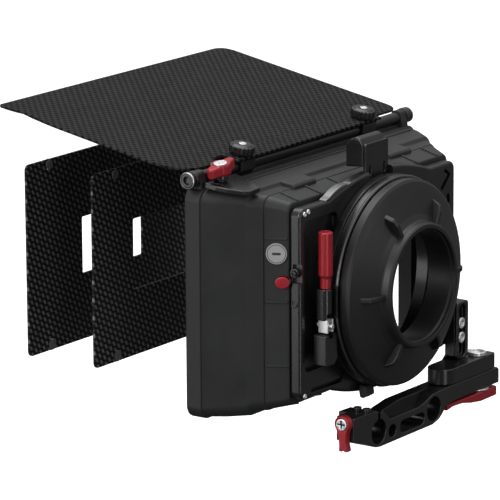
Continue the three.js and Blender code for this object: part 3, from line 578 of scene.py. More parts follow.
def hood_pieces():
    outer = bent_stations(
        [(60.5, 111.9, 66.6, 6.2), (60.5, 114, 68.6, 8), (50, 114, 68.6, 8), (50, 112.6, 67.6, 7),
        (40, 106.4, 67.6, 7.5), (29, 98.6, 67.0, 8), (27.4, 97.2, 64.4, 7), (20.8, 91.8, 63.9, 7),
        (20.8, 90.8, 63.4, 6), (8, 84.6, 60, 5), (8, 82, 57, 4)], 1.3)
    inner = bent_stations(
        [(8, 82, 57, 4), (8, 81, 55.6, 3), (20.8, 81, 55.6, 3), (20.8, 89, 61.4, 5), (29, 95.4, 64.4, 5),
        (50, 110, 65, 5), (50, 111.2, 65.8, 5.5), (60.5, 111.2, 65.8, 5.5), (60.5, 111.9, 66.6, 6.2)], 0.5)
    shell = skin([section(s) for s in outer + inner[1:-1]])
    mouth = [(y * 1.05, z * 0.86) for y, z in circle(0, 0, 4.35, 64)]
    button_hole = [plate([mouth], -5, 1.9, 0.01, "x", 1), drum(4.9, 1.8, 12, (0, 0, 0), X, 0.01, 64)]
    shell = carve(shell, *[tool.move(side_frame(BUTTON_Y, BUTTON_Z)) for tool in button_hole])
    for x in (-74.5, -51, -26.5, 26.5, 51, 74.5):
        for s in (1, -1):
            rib = [(8.5, s * 59.4), (8.4, s * 60.9), (20.2, s * 64.1), (21.0, s * 63.0)]
            shell.join(plate([rib], x - 0.7, x + 0.7, 0.25, "x", 2))
    for z in (39.5, 2, -36):
        for s in (1, -1):
            rib = [(s * 84.0, 8.5), (s * 85.7, 8.4), (s * 91.4, 20.2), (s * 90.0, 20.6)]
            shell.join(plate([rib], z - 0.7, z + 0.7, 0.25, "z", 2))
    for x0, x1 in ((-62.5, -39.5), (39.5, 62.5)):
        for s in (1, -1):
            tab = fillet(
                [(30, s * 66.6), (28.8, s * 67.1), (20.2, s * 66.0), (19.0, s * 64.8), (19.0, s * 62.4),
                (30, s * 62.4)], [0, 1, 1.2, 1, 0.3, 0], 4)
            shell.join(plate([tab], x0, x1, 1.0, "x", 3))
    shell.join(block(-100, 100, 43.4, 44.8, 66.5, 68.4, 0.4))
    for x0, x1 in ((-100, -72), (-55.5, 55.5), (72, 100)):
        shell.join(block(x0, x1, 53.4, 57.6, 67.2, 70.3, 0.4))
    ear = fillet(
        [(50.4, 68), (50.8, 72), (52.5, 78.4), (58.5, 78.4), (60, 72), (60.2, 68)], [0, 2, 3, 3, 2, 0], 6)
    for x0 in (BAR_LEFT + 3.9, BAR_RIGHT - 9.4):
        shell.join(plate([ear], x0, x0 + 6, 0.4, "x"))
    # a black flock lining over the hood's inner wall; its near-black colour is partly the real flock and
    # partly painted shade for the inside of the hood
    liner = skin(
        [section(s) for s in ((49.4, 109.3, 64.3, 5), (29, 95.1, 64.1, 5), (21.2, 88.6, 61.0, 5),
        (21.2, 88.2, 60.6, 5), (29, 94.7, 63.7, 5), (49.4, 108.9, 63.9, 5))])
    build("hood_lining", liner, "flock_and_shade", "hood")
    build("hood_body", shell, "moulded", "hood", ["hood_shell"], sharp=50)


def side_frame(y, z, lift=0.0):
    """Places a piece on the hood's slanted left flange, its local x pointing out of the surface."""
    share = (y - 8) / 12.8
    turn = Matrix.Rotation(SIDE_ANGLE, 4, "Z")
    turn.translation = Vector((-(84.6 + share * 6.2) - lift, y, z))
    return turn


def side_pieces():
    place = side_frame(BADGE_Y, BADGE_Z, 0.3)
    disc = drum(6.2, 0, 0.9, (0, 0, 0), -X, 0.25, 96).move(place)
    build("badge_disc", disc, "badge", "hood", ["side_badge"])
    marks = plate([rounded(-2.6, -0.75, 2.6, 0.75, 0.7, 8)], -1.0, -0.85, 0.05, "x", 1)
    marks.join(plate([circle(0, 0, 5.5, 96), circle(0, 0, 5.15, 96)], -1.0, -0.85, 0.04, "x", 1))
    build("badge_marks", marks.move(place), "groove", "hood")
    place = side_frame(BUTTON_Y, BUTTON_Z, 0.3)
    oval = [(y * 1.05, z * 0.86) for y, z in circle(0, 0, 4.15, 64)]
    cap = plate([oval], -2.55, -0.1, 0.7, "x", 5)
    cap.join(plate([circle(0, 0, 3.2, 48)], -0.5, 3.5, 0.1, "x", 1))
    for k in (-1, 0, 1):
        cap.join(block(-2.75, -2.3, k * 1.3 - 0.22, k * 1.3 + 0.22, -1.5, 1.5, 0.15))
    build("release_button", cap.move(place), "red", "side_release", ["side_button"])


# ---------------------------------------------------------------- bar and tilt lock
def bar_pieces():
    centre = (0, BAR_Y, BAR_Z)
    build("bar_rod", drum(BAR_R, BAR_LEFT, BAR_RIGHT, centre, X, 0.4, 64), "anodised", "hood", ["hinge_bar"])
    for side, label in ((-1, "left"), (1, "right")):
        x0 = BAR_LEFT + 0.4 if side < 0 else BAR_RIGHT - 3
        ring = fillet([(3.7, x0), (4.9, x0), (4.9, x0 + 3), (3.7, x0 + 3)], [0.1, 0.5, 0.5, 0.1], 4)
        build(
            f"bar_collar_{label}", turned(ring, centre, X, 72, closed=True), "black_steel", "hood",
            [f"hinge_collar_{label}"])
        x0 = BAR_LEFT - 3.3 if side < 0 else BAR_RIGHT + 0.3
        inner, outer = (x0 + 3, x0) if side < 0 else (x0, x0 + 3)
        s = 1 if outer > inner else -1
        cap = fillet(
            [(0, inner), (4.7, inner), (4.7, outer), (2.4, outer), (2.2, outer - s * 1.8),
            (0, outer - s * 1.8)], [0, 0.4, 0.9, 0.3, 0.2, 0], 5, closed=False)
        bright = [
            (4.35, outer - s * 0.3), (4.5, outer - s * 0.03), (4.78, outer - s * 0.3),
            (4.78, outer - s * 0.9), (4.6, outer - s * 0.9)]
        build(f"bar_cap_ring_{label}", turned(bright, centre, X, 72, closed=True), "steel", "hood")
        build(f"bar_cap_{label}", turned(cap, centre, X, 72), "anodised", "hood", [f"hinge_end_cap_{label}"])


def tilt_lock():
    plan = fillet(
        [(-110, 41), (-108.5, 34), (-105, 25.5), (-101, 22.6), (-90, 23.6), (-80, 46.0), (-79, 49.4),
        (-110, 49.4)], [2, 2, 2.5, 2, 2, 1, 0.5, 1.5], 6)
    slot = rounded(-108.0, 38, -104.2, 45, 1.6)
    base = plate([plan, slot], 69.2, 72.2, 0.5, "z")
    base.join(
        plate([offset(clean(plan if area(clean(plan)) > 0 else plan[::-1]), 0.8)], 69.0, 70.6, 0.1, "z", 1))
    slope = Matrix.Rotation(math.radians(7), 4, "X")
    base.move(Matrix.Translation((0, 49.4, 71)) @ slope @ Matrix.Translation((0, -49.4, -71)))
    build("tilt_plate", base, "anodised", "hood", ["tilt_lock_plate"])
    wing = (arc(0, 0, 5.8, 42, 138, 20) + arc(-8.6, 0, 2.9, 120, 240, 12) + arc(0, 0, 5.8, 222, 318, 20)
            + arc(8.6, 0, 2.9, -60, 60, 12))
    wing = fillet(clean(wing), 1.6, 2)
    place = Matrix.Translation((TILT_KNOB_X, TILT_KNOB_Y, 76)) @ Matrix.Rotation(math.radians(-9), 4, "Y")
    knob = plate([wing, circle(0, 0, 4.4, 64)], -0.2, 6.2, 1.3, "z", 6)
    knob.join(drum(4.8, 1.5, 5.6, (0, 0, 0), Z, 0.2, 64))
    build("tilt_knob_body", knob.move(place), "red", "tilt_knob", ["tilt_lock_knob"])
    stem = drum(4.3, 72.5, 76.4, (TILT_KNOB_X, TILT_KNOB_Y, 0), Z, 0.5, 64)
    stem.join(drum(2.2, 69.6, 73.5, (TILT_KNOB_X, TILT_KNOB_Y, 0), Z, 0.1, 32))
    build("tilt_knob_stem", stem, "anodised", "tilt_knob")
    build(
        "tilt_knob_screw", fastener((0, 0, 5.5), Z, 4.0, 1.2, "slot", 0.3, 64).move(place), "steel",
        "tilt_knob", ["tilt_lock_screw"])


# ---------------------------------------------------------------- top flag
def flag_matrix():
    turn = Matrix.Rotation(FLAG_TILT, 4, "X")
    turn.translation = Vector((0, BAR_Y, BAR_Z))
    return turn


def flag_pieces():
    place = flag_matrix()
    w, back, end = FLAG_HW, 7.3, FLAG_LENGTH
    low, high, thick = 0.2, 4.5, 1.6
    outline = [(-w + 22, back), (w - 8, back)]
    outline += quadratic((w - 8, back), (w, back + 0.5), (w, back + 10), 12)
    outline += quadratic((w, end - 11), (w, end), (w - 11, end), 16)
    outline += quadratic((-w + 3, end), (-w + 0.2, end), (-w + 0.4, end - 2.5), 6)
    outline += quadratic((-w + 0.4, end - 2.5), (-w + 0.2, end - 9), (-w + 3.2, end - 17), 12)
    outline += quadratic((-w + 3.2, end - 17), (-w + 0.4, end - 28), (-w, end - 46), 12)
    outline += quadratic((-w, back + 26), (-w, back), (-w + 22, back), 16)
    sheet = plate([clean(outline)], low, low + thick, 0.35, "z", 3)
    bend = fillet(
        [(-4.6, high), (-4.6, high + thick), (7.6, high + thick), (12.4, low + thick), (14, low + thick),
        (14, low), (11.6, low), (6.8, high)], [0.5, 0.5, 2, 1.5, 0, 0, 1.5, 1], 5)
    tab = plate([bend], -76, 76, 0.5, "x", 3)
    under = arc(0, 0, 3.43, 122, 58, 16)
    seal = plate([clean(under + [(3.2, 4.7), (-3.2, 4.7)])], -56, 56, 0.05, "x", 1)
    for x0, x1 in ((-75.4, -71.2), (71.2, 75.4)):
        seal.join(plate([clean(under + [(3.2, 4.7), (-3.2, 4.7)])], x0, x1, 0.05, "x", 1))
    build("flag_seal", seal.move(place), "rubber", "flag")
    build("flag_sheet", sheet.join(tab).move(place), "carbon_flag", "flag", ["top_flag"])
    for s, label, body in ((-1, "left", "flag_knob_l"), (1, "right", "flag_knob_r")):
        cx = s * 63.7
        jaw = [(-5.1, -0.8)] + arc(0, 0, 5.2, 189, 351, 28) + [(5.8, 4.2), (-4.6, 4.2)]
        clamp = plate([fillet(clean(jaw), 0.5, 2), circle(0, 0, 3.65, 48)], cx - 7, cx + 7, 0.4, "x")
        build(f"bar_clamp_{label}", clamp.move(place), "anodised", "flag", [f"flag_clamp_{label}"])
        z0 = high + thick + 0.3
        lobes = []
        for i in range(144):
            a = 2 * math.pi * i / 144
            r = 7.25 + 0.35 * math.cos(18 * a)
            lobes.append((cx + r * math.cos(a), 1.6 + r * math.sin(a)))
        knob = plate([lobes], z0 + 0.8, z0 + 5.3, 0.6, "z", 3)
        knob.join(drum(6.2, z0, z0 + 1.2, (cx, 1.6, 0), Z, 0.3, 64))
        crown = fillet(
            [(0, z0 + 4), (6.7, z0 + 4), (6.7, z0 + 5.2), (5.2, z0 + 6.2), (2.5, z0 + 6.2), (2.5, z0 + 5.6),
            (0, z0 + 5.6)], [0, 0, 0.6, 0.8, 0.15, 0.1, 0], 5, closed=False)
        knob.join(turned(crown, (cx, 1.6, 0), Z, 72))
        knob.join(drum(2.2, high + 0.1, z0 + 1, (cx, 1.6, 0), Z, 0.1, 32))
        build(f"flag_knob_body_{label}", knob.move(place), "anodised", body, [f"flag_knob_{label}"])
        disc = fastener((cx, 1.6, z0 + 5.5), Z, 2.3, 0.9, "hex", 0.25)
        build(f"flag_knob_cap_{label}", disc.move(place), "steel", body, [f"flag_knob_disc_{label}"])


# ---------------------------------------------------------------- hard mattes
def matte_pieces():
    for label, body, y, hw, bottom, top in (("wide", "wide_matte", 149, 45.1, -17.6, 26),
                                            ("tele", "tele_matte", 198.8, 30.7, -17.2, 18.3)):
        holes = [rounded(-hw, bottom, hw, top, 1, 4)]
        places = [(s * 62.2, z) for s in (-1, 1) for z in (56.6, -55.3)]
        holes += [circle(x, z, 3.3, 48) for x, z in places]
        sheet = plate([rounded(-84.8, -58.7, 84.8, 60, 3.5, 10), *holes], y, y + 1.6, 0.3)
        build(f"matte_sheet_{label}", sheet, "carbon_matte", body, [f"matte_{label}"])
        for s, side in ((-1, "left"), (1, "right")):
            for z, place in ((56.6, "top"), (-55.3, "bottom")):
                disc = fastener((s * 62.2, y + 0.5, z), -Y, 3.05, 0.8, "slot", 0.2, 48)
                disc.join(drum(3.05, 0.3, 1.6, (s * 62.2, y, z), Y, 0.2, 48))
                build(
                    f"magnet_{label}_{place}_{side}", disc, "magnet", body,
                    [f"matte_{label}_magnet_{place}_{side}"])


# ---------------------------------------------------------------- stage
def arch_outline():
    left, right, top, bottom, r = -84.5, 81.0, 57.5, -56.0, 5.0
    chord, rise = 54.0, 9.5
    made = [(left + r, bottom)]
    made += quadratic((-chord, bottom), (0, bottom - 2 * rise), (chord, bottom), 48)
    made += arc(right - r, bottom + r, r, -90, 0, 8) + arc(right - r, top - r, r, 0, 90, 8)
    made += quadratic((chord, top), (0, top + 2 * rise), (-chord, top), 48)
    made += arc(left + r, top - r, r, 90, 180, 8) + arc(left + r, bottom + r, r, 180, 270, 8)
    return clean(made)


def bent_slot(points, width, y0, y1):
    half = width / 2
    last = len(points) - 1
    left_side, right_side = [], []
    for i, (x, z) in enumerate(points):
        a = Vector(points[max(i - 1, 0)])
        b = Vector(points[min(i + 1, last)])
        d = (b - a).normalized()
        normal = Vector((-d.y, d.x)) * half
        left_side.append((x + normal.x, z + normal.y))
        right_side.append((x - normal.x, z - normal.y))
    return plate([fillet(left_side + right_side[::-1], half * 0.9, 5)], y0, y1, 0.01, "y", 1)


def stage_pieces():
    frame_plate = plate([arch_outline()], 0, STAGE_DEPTH, 1.9, "y", 5)
    tools = [
        drum(APERTURE_R, -2, 12, (0, 0, 0), Y, 0.01, 128),
        block(-87, -82.6, -1, 5.2, 13.8, 25.2, 0.3),
        drum(4.9, -88, -78.5, (0, 11, 14), X, 0.01, 48),
        plate([rounded(-80.5, -40, -46, 50, 4, 8)], -1, 3.4, 0.05, "y", 1),
        bent_slot([(-74, -51.3), (-55, -51.9), (-43, -52.2), (-40.5, -46.5)], 3, -1, 2.6),
        bent_slot([(65.5, 41.8), (74.6, 50.2), (69, 53.2)], 3, -1, 2.6),
        bent_slot([(73, 38.2), (74, 32.4)], 3, -1, 2.6),
        block(-12.3, 12.3, -1, 9, 61.7, 72, 0.2),
    ]
    body = carve(frame_plate, *tools)
    sleeve = plate([rounded(-77.6, -55, 77.6, 55, 2.5), rounded(-75.6, -52.8, 75.6, 52.8, 2)], 7.2, 20.4, 0.3)
    body.join(sleeve)
    for z, r_out in ((19.7, 2.9), (1.3, 2.3)):
        body.join(
            turned(fillet([(1.4, 80.5), (r_out, 80.5), (r_out, 85.0), (1.4, 85.0)], 0.3, 3), (0, 4.2, z), -X,
            48, closed=True))
    build("stage_body", body, "anodised", "stage", ["stage_frame"], sharp=35)
    low_line, high_line = [], []
    for i in range(25):
        t = i / 24
        x = -57.5 + 26 * t
        share = max((x + 54) / 108, 0)
        z = 57.5 + 38 * share * (1 - share)
        low_line.append((x, z - 0.6))
        high_line.append((x, z + 0.4 + 2.3 * math.sin(math.pi * min(t * 1.15, 1)) ** 0.6))
    band = plate([clean(low_line + high_line[::-1])], 0.3, 5.6, 0.6, "y", 4)
    cut = [(x, z + 0.9) for x, z in low_line] + [(x, z + 1.25) for x, z in low_line[::-1]]
    groove = plate([clean(cut)], -1, 0.7, 0.01, "y", 1)
    build("arch_strip_body", carve(band, groove), "edge", "stage", ["arch_strip"])
    for name, x, z in (("top_outer", -80.4, 54.2), ("top_inner", -76.6, 55.0), ("bottom", -80.6, -53.6)):
        build(
            f"corner_head_{name}", fastener((x, 0.6, z), -Y, 1.45, 1.4, "hex", 0.4), "steel", "stage",
            [f"corner_screw_{name}"])
    build(
        "cheek_head", fastener((-85.5, 3.6, 19.7), -X, 1.7, 1.6, "hex", 0.3), "black_steel", "stage",
        ["cheek_screw"])
    for name, z in (("upper", -41.9), ("lower", -50.9)):
        head = fastener((76.3, -7.3, z), -Y, 3.4, 1.6, "hex", 0.7, 48)
        head.join(drum(2, -7.8, 3.6, (76.3, 0, z), Y, 0.2, 32))
        build(f"height_head_{name}", head, "steel", "stage", [f"height_screw_{name}"])


def latch_pieces():
    side = fillet(
        [(5.4, 69), (5.4, 82.2), (7.4, 85.6), (10.6, 86.4), (14.2, 85), (17.4, 81.2), (17.4, 68)],
        [0, 1, 2.5, 3, 3.5, 3, 0.5], 6)
    block_ = plate([side], -11.8, 11.8, 1.0, "x", 4)
    build("latch_block", block_, "anodised", "stage", ["top_latch_housing"])
    face = rounded(-12, 62, 12, 82.8, 1.5, 6)
    slots = [rounded(x - 1.1, 63.4, x + 1.1, 69.2, 1.05, 6) for x in (-7.5, 7.5)]
    panel = plate([face, *slots], 3.0, 5.1, 0.45)
    for k in range(3):
        panel.join(block(-6.0, 6.0, 2.9, 3.3, 79.0 - k * 2.0, 79.7 - k * 2.0, 0.12))
    build("latch_panel", panel, "anodised", "top_latch", ["top_latch_plate"])
    hook = fillet(
        [(-5.2, -59.6), (-0.7, -58.9), (-0.6, -63), (-1.2, -66.6), (-3.4, -67.2), (-6.2, -65.4), (-5.8, -62)],
        [0.4, 0.4, 1, 0.8, 1, 1, 1], 5)
    build("bottom_hook", plate([hook], -25, -16.4, 0.5, "x"), "moulded", "bottom_latch", ["bottom_latch"])


def ring_pieces():
    profile = fillet(
        [(57.6, -0.3), (57.6, -10.6), (62.0, -10.6), (63.2, -9.4), (63.2, -6.6), (61.9, -6.1), (61.9, -5.1),
        (63.2, -4.6), (63.2, -0.3)], [0, 0.4, 0.6, 0.6, 0.3, 0.2, 0.2, 0.3, 0], 4)
    ring = turned(profile, (0, 0, 0), Y, 192, closed=True)
    gap = block(-70, -50, -12, 1, 1, 4, 0.01)
    notch = block(-25.5, -15.9, -12, 1, -68, -57, 0.01)
    hairline = [(62.55, -10.3), (63.0, -9.85), (62.8, -9.7), (62.4, -10.1)]
    build(
        "ring_bright_edge", turned(hairline, (0, 0, 0), Y, 192, closed=True), "edge", "stage")
    build("ring_body", carve(ring, gap, notch), "anodised", "stage", ["clamp_ring"], sharp=35)
    profile = fillet(
        [(33, -11.6), (33, -27.6), (33.9, -28.2), (33.9, -30.5), (36.3, -30.5), (37.3, -28.9), (37.9, -25),
        (41.6, -23.2), (56.2, -18.9), (59.9, -17.7), (61.5, -16.4), (61.5, -11.2), (57.2, -11.2),
        (57.2, -2.4), (54.4, -2.4), (54.4, -15.4), (52.6, -17), (36.5, -21.6), (36.5, -11.6)],
        [0.3, 0.6, 0.4, 0.4, 0.8, 2, 2, 4, 1.5, 0.6, 0.6, 0.5, 0.2, 0.4, 0.4, 0.5, 1, 1, 0.3], 6)
    donut = turned(profile, (0, 0, 0), Y, 192, closed=True)
    for k in range(6):
        outline = fillet(
            [(36.6, -27.6), (46, -27), (50, -25.4), (53, -19), (52, -18.4), (40, -21.4), (37, -22)],
            [0, 3, 3, 1.5, 0, 0, 0], 6)
        blade = plate([outline], -1.6, 1.6, 0.7, "z", 4)
        donut.join(blade.move(Matrix.Rotation(k * math.pi / 3, 4, "Y")))
    build("donut_body", donut, "rubber", "donut", ["donut_ring"], sharp=45)


def tray_pieces():
    for label, y in (("rear", 8.2), ("front", 14.2)):
        base = rounded(-75.2, -52.4, 75.2, 52.4, 2)
        tray = plate([base, rounded(-69, -48, 69, 48, 2)], y, y + 1.5, 0.3)
        tray.join(plate([base, rounded(-72.2, -51, 72.2, 51, 1)], y + 1.0, y + 4.4, 0.1))
        tray.join(plate([base, rounded(-69, -48, 69, 48, 2)], y + 3.9, y + 5.4, 0.3))
        build(f"tray_{label}_body", tray, "moulded", f"tray_{label}", [f"filter_tray_{label}"])


# ---------------------------------------------------------------- ring lock
def ring_lock():
    profile = fillet(
        [(0, 38.5), (1.9, 38.6), (2.0, 42.9), (3.6, 42.9), (4.2, 42.2), (4.2, 17.4), (3.1, 15.6), (3.1, 9.5),
        (0, 9.5)], [0, 0.2, 0.2, 0.4, 0.5, 0.8, 0.6, 0.2, 0], 5, closed=False)
    build(
        "lock_handle", turned(profile, (LOCK_X, LOCK_Y, 0), Z, 72), "red", "ring_lever", ["ring_lock_lever"])
    x, y = LOCK_X, LOCK_Y
    outline = arc(x, y, 3.8, 180, 360, 40) + [(x + 3.8, y + 3.6), (x - 3.8, y + 3.6)]
    barrel = plate([clean(outline)], -9.4, 9.2, 0.6, "z", 4)
    slot = block(x - 2.7, x + 2.7, y - 5, y + 2.4, -11, -5.2, 0.3)
    build("lock_barrel", carve(barrel, slot), "anodised", "ring_lever", ["ring_lock_barrel"], sharp=35)
    index = plate(
        [rounded(-12.2, -9, -5.2, 10.6, 0.8, 5), circle(-8.8, -2.5, 1.2, 32)], -65.1, -63.9, 0.25, "x")
    for k in range(5):
        index.join(block(-65.2, -65.0, -11.0, -9.2 if k % 2 else -8.0, 9.2 - k * 1.6, 9.5 - k * 1.6, 0.05))
    build("lock_index", index, "anodised", "stage", ["ring_lock_index_plate"])
    pivot = drum(1.5, -12.2, -2, (x, 0, -12.6), Y, 0.3, 48).join(drum(1.2, -13, -9.7, (x, -5, 0), Z, 0.1, 32))
    for s in (-1, 1):
        pivot.join(block(x + s * 2.6 - 0.65, x + s * 2.6 + 0.65, -10.6, -4.2, -16.6, -8.9, 0.3))
    build("lock_fork", pivot, "steel", "ring_lever", ["ring_lock_pivot"])
    outline = fillet(
        [(-75, -17.5), (-63.6, -17.5), (-62.6, -33), (-66, -36), (-75, -36)], [1, 0.8, 1, 1, 1], 5)
    base = plate([outline], -11, -2.6, 0.5)
    tools = [block(-71.6, -67, -12, -0.1, -20, -15, 0.1), drum(2.2, -66, -60, (0, -6.5, -26), X, 0.05, 40)]
    build("lock_base", carve(base, *tools), "anodised", "stage", ["ring_lock_base"], sharp=35)
    head = fastener((-65.6, -6.5, -26), X, 1.9, 4.1, "slot", 0.3)
    build("lock_base_screw", head, "steel", "stage", ["ring_lock_screw"])


# ---------------------------------------------------------------- swing block, post and arm
def swing_pieces():
    mid, half = -9.4, 8.9
    plan = [(98.5, -18.3), (100, -16.8)] + arc(96, -4.5, 4, 0, 90, 10) + arc(53, mid, half, 90, 270, 28)
    plan = clean(plan)
    block_ = plate([plan, circle(PIVOT_X, PIVOT_Y, 4.3, 64)], -73.6, -64, 0.5, "z")
    build("swing_block_body", block_, "anodised", "swing", ["swing_block"])
    face = rounded(69.7, -63.7, 82.9, -28.4, 2.2, 8)
    slot = rounded(74, -61.6, 78.6, -31.2, 2.2, 8)
    sunk = rounded(72.6, -62.8, 80, -30, 3.4, 10)
    post = plate([face, slot], -7.2, -0.4, 0.4)
    post.join(plate([face, sunk], -9.2, -6.9, 0.8))
    foot = fillet(
        [(-1.0, -63.7), (-0.2, -63.7), (-0.2, -73.3), (5.6, -73.3), (5.6, -70.8), (-1.0, -60.6)],
        [0, 0, 0.4, 0.6, 1, 0], 4)
    post.join(plate([foot], 69.9, 82.7, 0.6, "x"))
    build("post_body", post, "anodised", "swing", ["height_post"])
    profile = fillet(
        [(0, -63.2), (4.2, -63.2), (4.5, -61.5), (5.75, -61.5), (5.75, -63.7), (4, -63.7), (4, -80),
        (0, -80)], [0, 0.4, 0.2, 0.5, 0.2, 0, 0.4, 0], 5, closed=False)
    bolt = turned(profile, (PIVOT_X, PIVOT_Y, 0), Z, 96)
    bolt.join(
        turned(fillet([(1.2, -63.25), (2.2, -63.25), (2.2, -62.9), (1.2, -62.9)], 0.1, 3),
        (PIVOT_X, PIVOT_Y, 0), Z, 48, closed=True))
    build("pivot_disc", bolt, "steel", "arm", ["pivot_bolt"])


def arm_pieces():
    back = [
        (-57, -70.8), (-56.2, -70), (-34, -70.6), (-31.8, -71.6), (-24, -73.8), (-17.5, -79), (13, -79),
        (20, -77.6), (29, -74.4), (47, -73.9), (102, -73.9), (103.8, -75.4), (103.8, -83.9), (54, -83.9),
        (43, -85), (40.5, -88.4), (36, -91.6), (29, -93.4), (-28, -93.6), (-33, -93), (-44, -88.2),
        (-57, -84.4)]
    outline = fillet(back, [0.3, 0.5, 1.5, 2, 3, 3, 4, 6, 6, 6, 0.6, 0.6, 1, 8, 6, 5, 6, 6, 3, 4, 5, 1], 6)
    holes = [circle(-ROD_X, ROD_Z, ROD_R, 96), circle(ROD_X, ROD_Z, ROD_R, 96),
             rounded(-7.2, -90.6, 19.6, -83, 3.7, 12),
             rounded(-19.4, -90.6, -11.4, -83, 3.7, 12)]
    arm = plate([outline, *holes], -18.3, -0.5, 0.55)
    tools = [block(-62, -46, -6.4, 2, -97, -60, 0.3),
             plate([[(-31, -60), (-28.6, -60), (-28.6, -84), (-31, -84)]], -30, 10, 0.01, "y", 1),
             drum(4.3, -90, -70, (PIVOT_X, PIVOT_Y, 0), Z, 0.05, 48)]
    body = carve(arm, *tools)
    shelf = [(-14, -79.4), (-12, -76.2), (3, -74), (8, -73.9), (46, -73.9), (46, -80), (-14, -80)]
    body.join(plate([fillet(shelf, [0.3, 1.5, 4, 3, 0, 0, 0.3], 5)], -9, -0.5, 0.5))
    build("arm_body", body, "anodised", "arm", ["rod_arm"], sharp=35)
    for name, y in (("rear", -15.2), ("front", -8.8)):
        head = fastener(
            (-38.5, y, -70.2), Z, 2.4, 2.0, "hex", 0.4).join(drum(1.4, -76.6, -70, (-38.5, y, 0), Z, 0.1, 24))
        build(f"jaw_head_{name}", head, "black_steel", "arm", [f"jaw_screw_{name}"])
    shape = (arc(0, 0, 5.0, -35, 215, 40) + quadratic((-3.4, -4.6), (-2.2, -9.5), (-3.6, -14.4), 8)
             + [(-3.8, -16.2), (-2.2, -16.4), (-0.9, -15.4), (0.3, -16.4), (2.0, -16.2)]
             + quadratic((1.9, -14.4), (1.6, -9.0), (3.4, -4.4), 8))
    place = Matrix.Translation((0, PIN_Y, PIN_Z))
    lever = plate([clean(shape), circle(0, 0, 3.85, 64)], -62.2, -59.8, 0.5, "x", 4)
    lever.join(plate([clean(shape)], -60.4, -57.4, 0.4, "x", 3))
    build("clamp_handle", lever.move(place), "red", "rod_lever", ["rod_clamp_lever"])
    head = fastener((-60.6, PIN_Y, PIN_Z), -X, 3.6, 1.95, "cross", 0.3, 64)
    head.join(drum(1.5, -61.4, -44.6, (0, PIN_Y, PIN_Z), X, 0.1, 32))
    # a dark cross in the mouth of the screw's cross recess: painted shade for the recess
    bars = block(
        -62.58, -62.3, -2.6, 2.6, -0.45, 0.45, 0.02).join(block(-62.58, -62.3, -0.45, 0.45, -2.6, 2.6, 0.02))
    build("clamp_cross_shade", bars.move(place), "groove", "rod_lever")
    build("clamp_disc", head, "steel", "rod_lever", ["rod_clamp_screw"])


def swing_lever():
    """The red lever under the arm: a broad plate whose underside rises and falls along its length."""
    plan = [(46, -17.4), (80, -18.6), (100.4, -18.6), (101.8, -16.6), (101.4, -5.4)]
    plan += arc(PIVOT_X, PIVOT_Y, 12.2, 28.6, 144, 20) + [(64, -8), (47, -11.2), (45.4, -14)]
    plan = clean(plan)
    body = plate([plan], -91.3, -85.5, 0.6, "z", 3)
    drop = [
        (40, -89.2), (43, -89.4), (52, -87.6), (62, -87.8), (72, -89.8), (84, -91.2), (106, -90.8),
        (106, -96), (40, -96)]
    under = plate([fillet(drop, [0, 3, 8, 8, 8, 6, 0, 0, 0], 8)], -30, 10, 0.01, "y", 1)
    build("swing_handle", carve(body, under), "red", "swing_lever", ["swing_lock_lever"], sharp=35)
    ring = fillet([(3.2, -85.2), (7.4, -85.2), (7.4, -84.2), (3.2, -84.2)], 0.25, 3)
    build(
        "swing_washer", turned(ring, (PIVOT_X, PIVOT_Y, 0), Z, 72, closed=True), "steel", "arm",
        ["swing_lock_washer"])


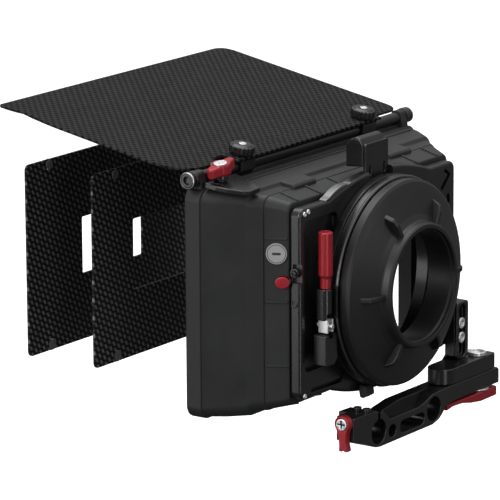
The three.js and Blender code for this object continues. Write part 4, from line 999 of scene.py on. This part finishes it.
# ---------------------------------------------------------------- floor, light and camera
def studio():
    scene = bpy.context.scene
    mesh = bpy.data.meshes.new("floor")
    mesh.from_pydata([(-9, -9, -0.16), (9, -9, -0.16), (9, 9, -0.16), (-9, 9, -0.16)], [], [(0, 1, 2, 3)])
    floor = bpy.data.objects.new("floor", mesh)
    scene.collection.objects.link(floor)
    pale = Nodes("pale_floor")
    where = pale.position()
    tone = pale.remap(pale.noise(where, 3, 2), 0.3, 0.7, 0, 1)
    pale.link(pale.blend(tone, (0.93, 0.93, 0.93), (0.96, 0.96, 0.96)), pale.shader.inputs["Base Color"])
    pale.set(Roughness=0.9, Specular_IOR_Level=0.1, Emission_Color=(1, 1, 1, 1), Emission_Strength=0.25)
    floor.data.materials.append(pale.material)
    floor.visible_diffuse = False
    floor.visible_glossy = False

    world = bpy.data.worlds.new("studio")
    scene.world = world
    world.use_nodes = True
    tree = world.node_tree
    sky = tree.nodes["Background"]
    coordinate = tree.nodes.new("ShaderNodeTexCoord")
    split = tree.nodes.new("ShaderNodeSeparateXYZ")
    tree.links.new(coordinate.outputs["Generated"], split.inputs[0])
    ramp = tree.nodes.new("ShaderNodeValToRGB")
    lift = tree.nodes.new("ShaderNodeMapRange")
    lift.inputs["From Min"].default_value = -1
    tree.links.new(split.outputs["Z"], lift.inputs["Value"])
    tree.links.new(lift.outputs["Result"], ramp.inputs["Fac"])
    ramp.color_ramp.elements[0].position = 0.0
    ramp.color_ramp.elements[0].color = (0.06, 0.06, 0.06, 1)
    ramp.color_ramp.elements[1].position = 1.0
    ramp.color_ramp.elements[1].color = (0.80, 0.80, 0.80, 1)
    middle = ramp.color_ramp.elements.new(0.5)
    middle.color = (0.17, 0.17, 0.17, 1)
    tree.links.new(ramp.outputs["Color"], sky.inputs["Color"])
    sky.inputs["Strength"].default_value = 1.0
    white = tree.nodes.new("ShaderNodeBackground")
    white.inputs["Color"].default_value = (1, 1, 1, 1)
    white.inputs["Strength"].default_value = 1.05
    rays = tree.nodes.new("ShaderNodeLightPath")
    mix = tree.nodes.new("ShaderNodeMixShader")
    tree.links.new(rays.outputs["Is Camera Ray"], mix.inputs["Fac"])
    tree.links.new(sky.outputs[0], mix.inputs[1])
    tree.links.new(white.outputs[0], mix.inputs[2])
    tree.links.new(mix.outputs[0], tree.nodes["World Output"].inputs["Surface"])

    def area_light(name, place, aim, size, power):
        data = bpy.data.lights.new(name, "AREA")
        data.shape = "RECTANGLE"
        data.size, data.size_y = size
        data.energy = power
        light = bpy.data.objects.new(name, data)
        scene.collection.objects.link(light)
        light.location = place
        light.rotation_mode = "QUATERNION"
        light.rotation_quaternion = (Vector(aim) - Vector(place)).to_track_quat("-Z", "Y")

    area_light("left", (-2.4, 0.2, 0.9), (0, 0.05, 0.08), (1.2, 1.6), 34)
    area_light("top", (0.3, 0.5, 2.2), (0, 0.1, 0.1), (2.0, 2.0), 26)
    area_light("fill", (0.9, -2.2, 0.7), (0, 0, 0.05), (0.5, 1.4), 5)
    area_light("edge", (-1.15, -1.75, 0.0), (0, 0, 0.02), (0.5, 1.2), 7)
    area_light("front_left", (-1.9, 1.25, -0.05), (0, 0, 0.08), (0.9, 0.9), 5)
    area_light("floor_light", (0, 0, 3.2), (0, 0, -0.16), (4, 4), 40)


def camera():
    data = bpy.data.cameras.new("view")
    data.sensor_width = SENSOR
    data.lens = SENSOR * CAMERA_FOCAL / CAMERA_PICTURE
    data.clip_end = 50
    cam = bpy.data.objects.new("view", data)
    bpy.context.scene.collection.objects.link(cam)
    a, e, roll = math.radians(-54.78), math.radians(13.31), math.radians(-0.36)
    back = Vector((math.sin(a) * math.cos(e), -math.cos(a) * math.cos(e), math.sin(e)))
    right = (-back).cross(Z).normalized()
    up = right.cross(-back)
    right, up = right * math.cos(roll) + up * math.sin(roll), up * math.cos(roll) - right * math.sin(roll)
    cam.matrix_world = Matrix(
        ((right.x, up.x, back.x, -1.93159), (right.y, up.y, back.y, -1.25927),
        (right.z, up.z, back.z, 0.64840), (0, 0, 0, 1)))
    bpy.context.scene.camera = cam
    bpy.context.scene.view_settings.view_transform = "Standard"


make_materials()
camera()
studio()
hood_pieces()
side_pieces()
bar_pieces()
tilt_lock()
flag_pieces()
matte_pieces()
stage_pieces()
latch_pieces()
ring_pieces()
tray_pieces()
ring_lock()
swing_pieces()
arm_pieces()
swing_lever()
dress(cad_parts["button_spring"], MATERIALS["steel"], 60)
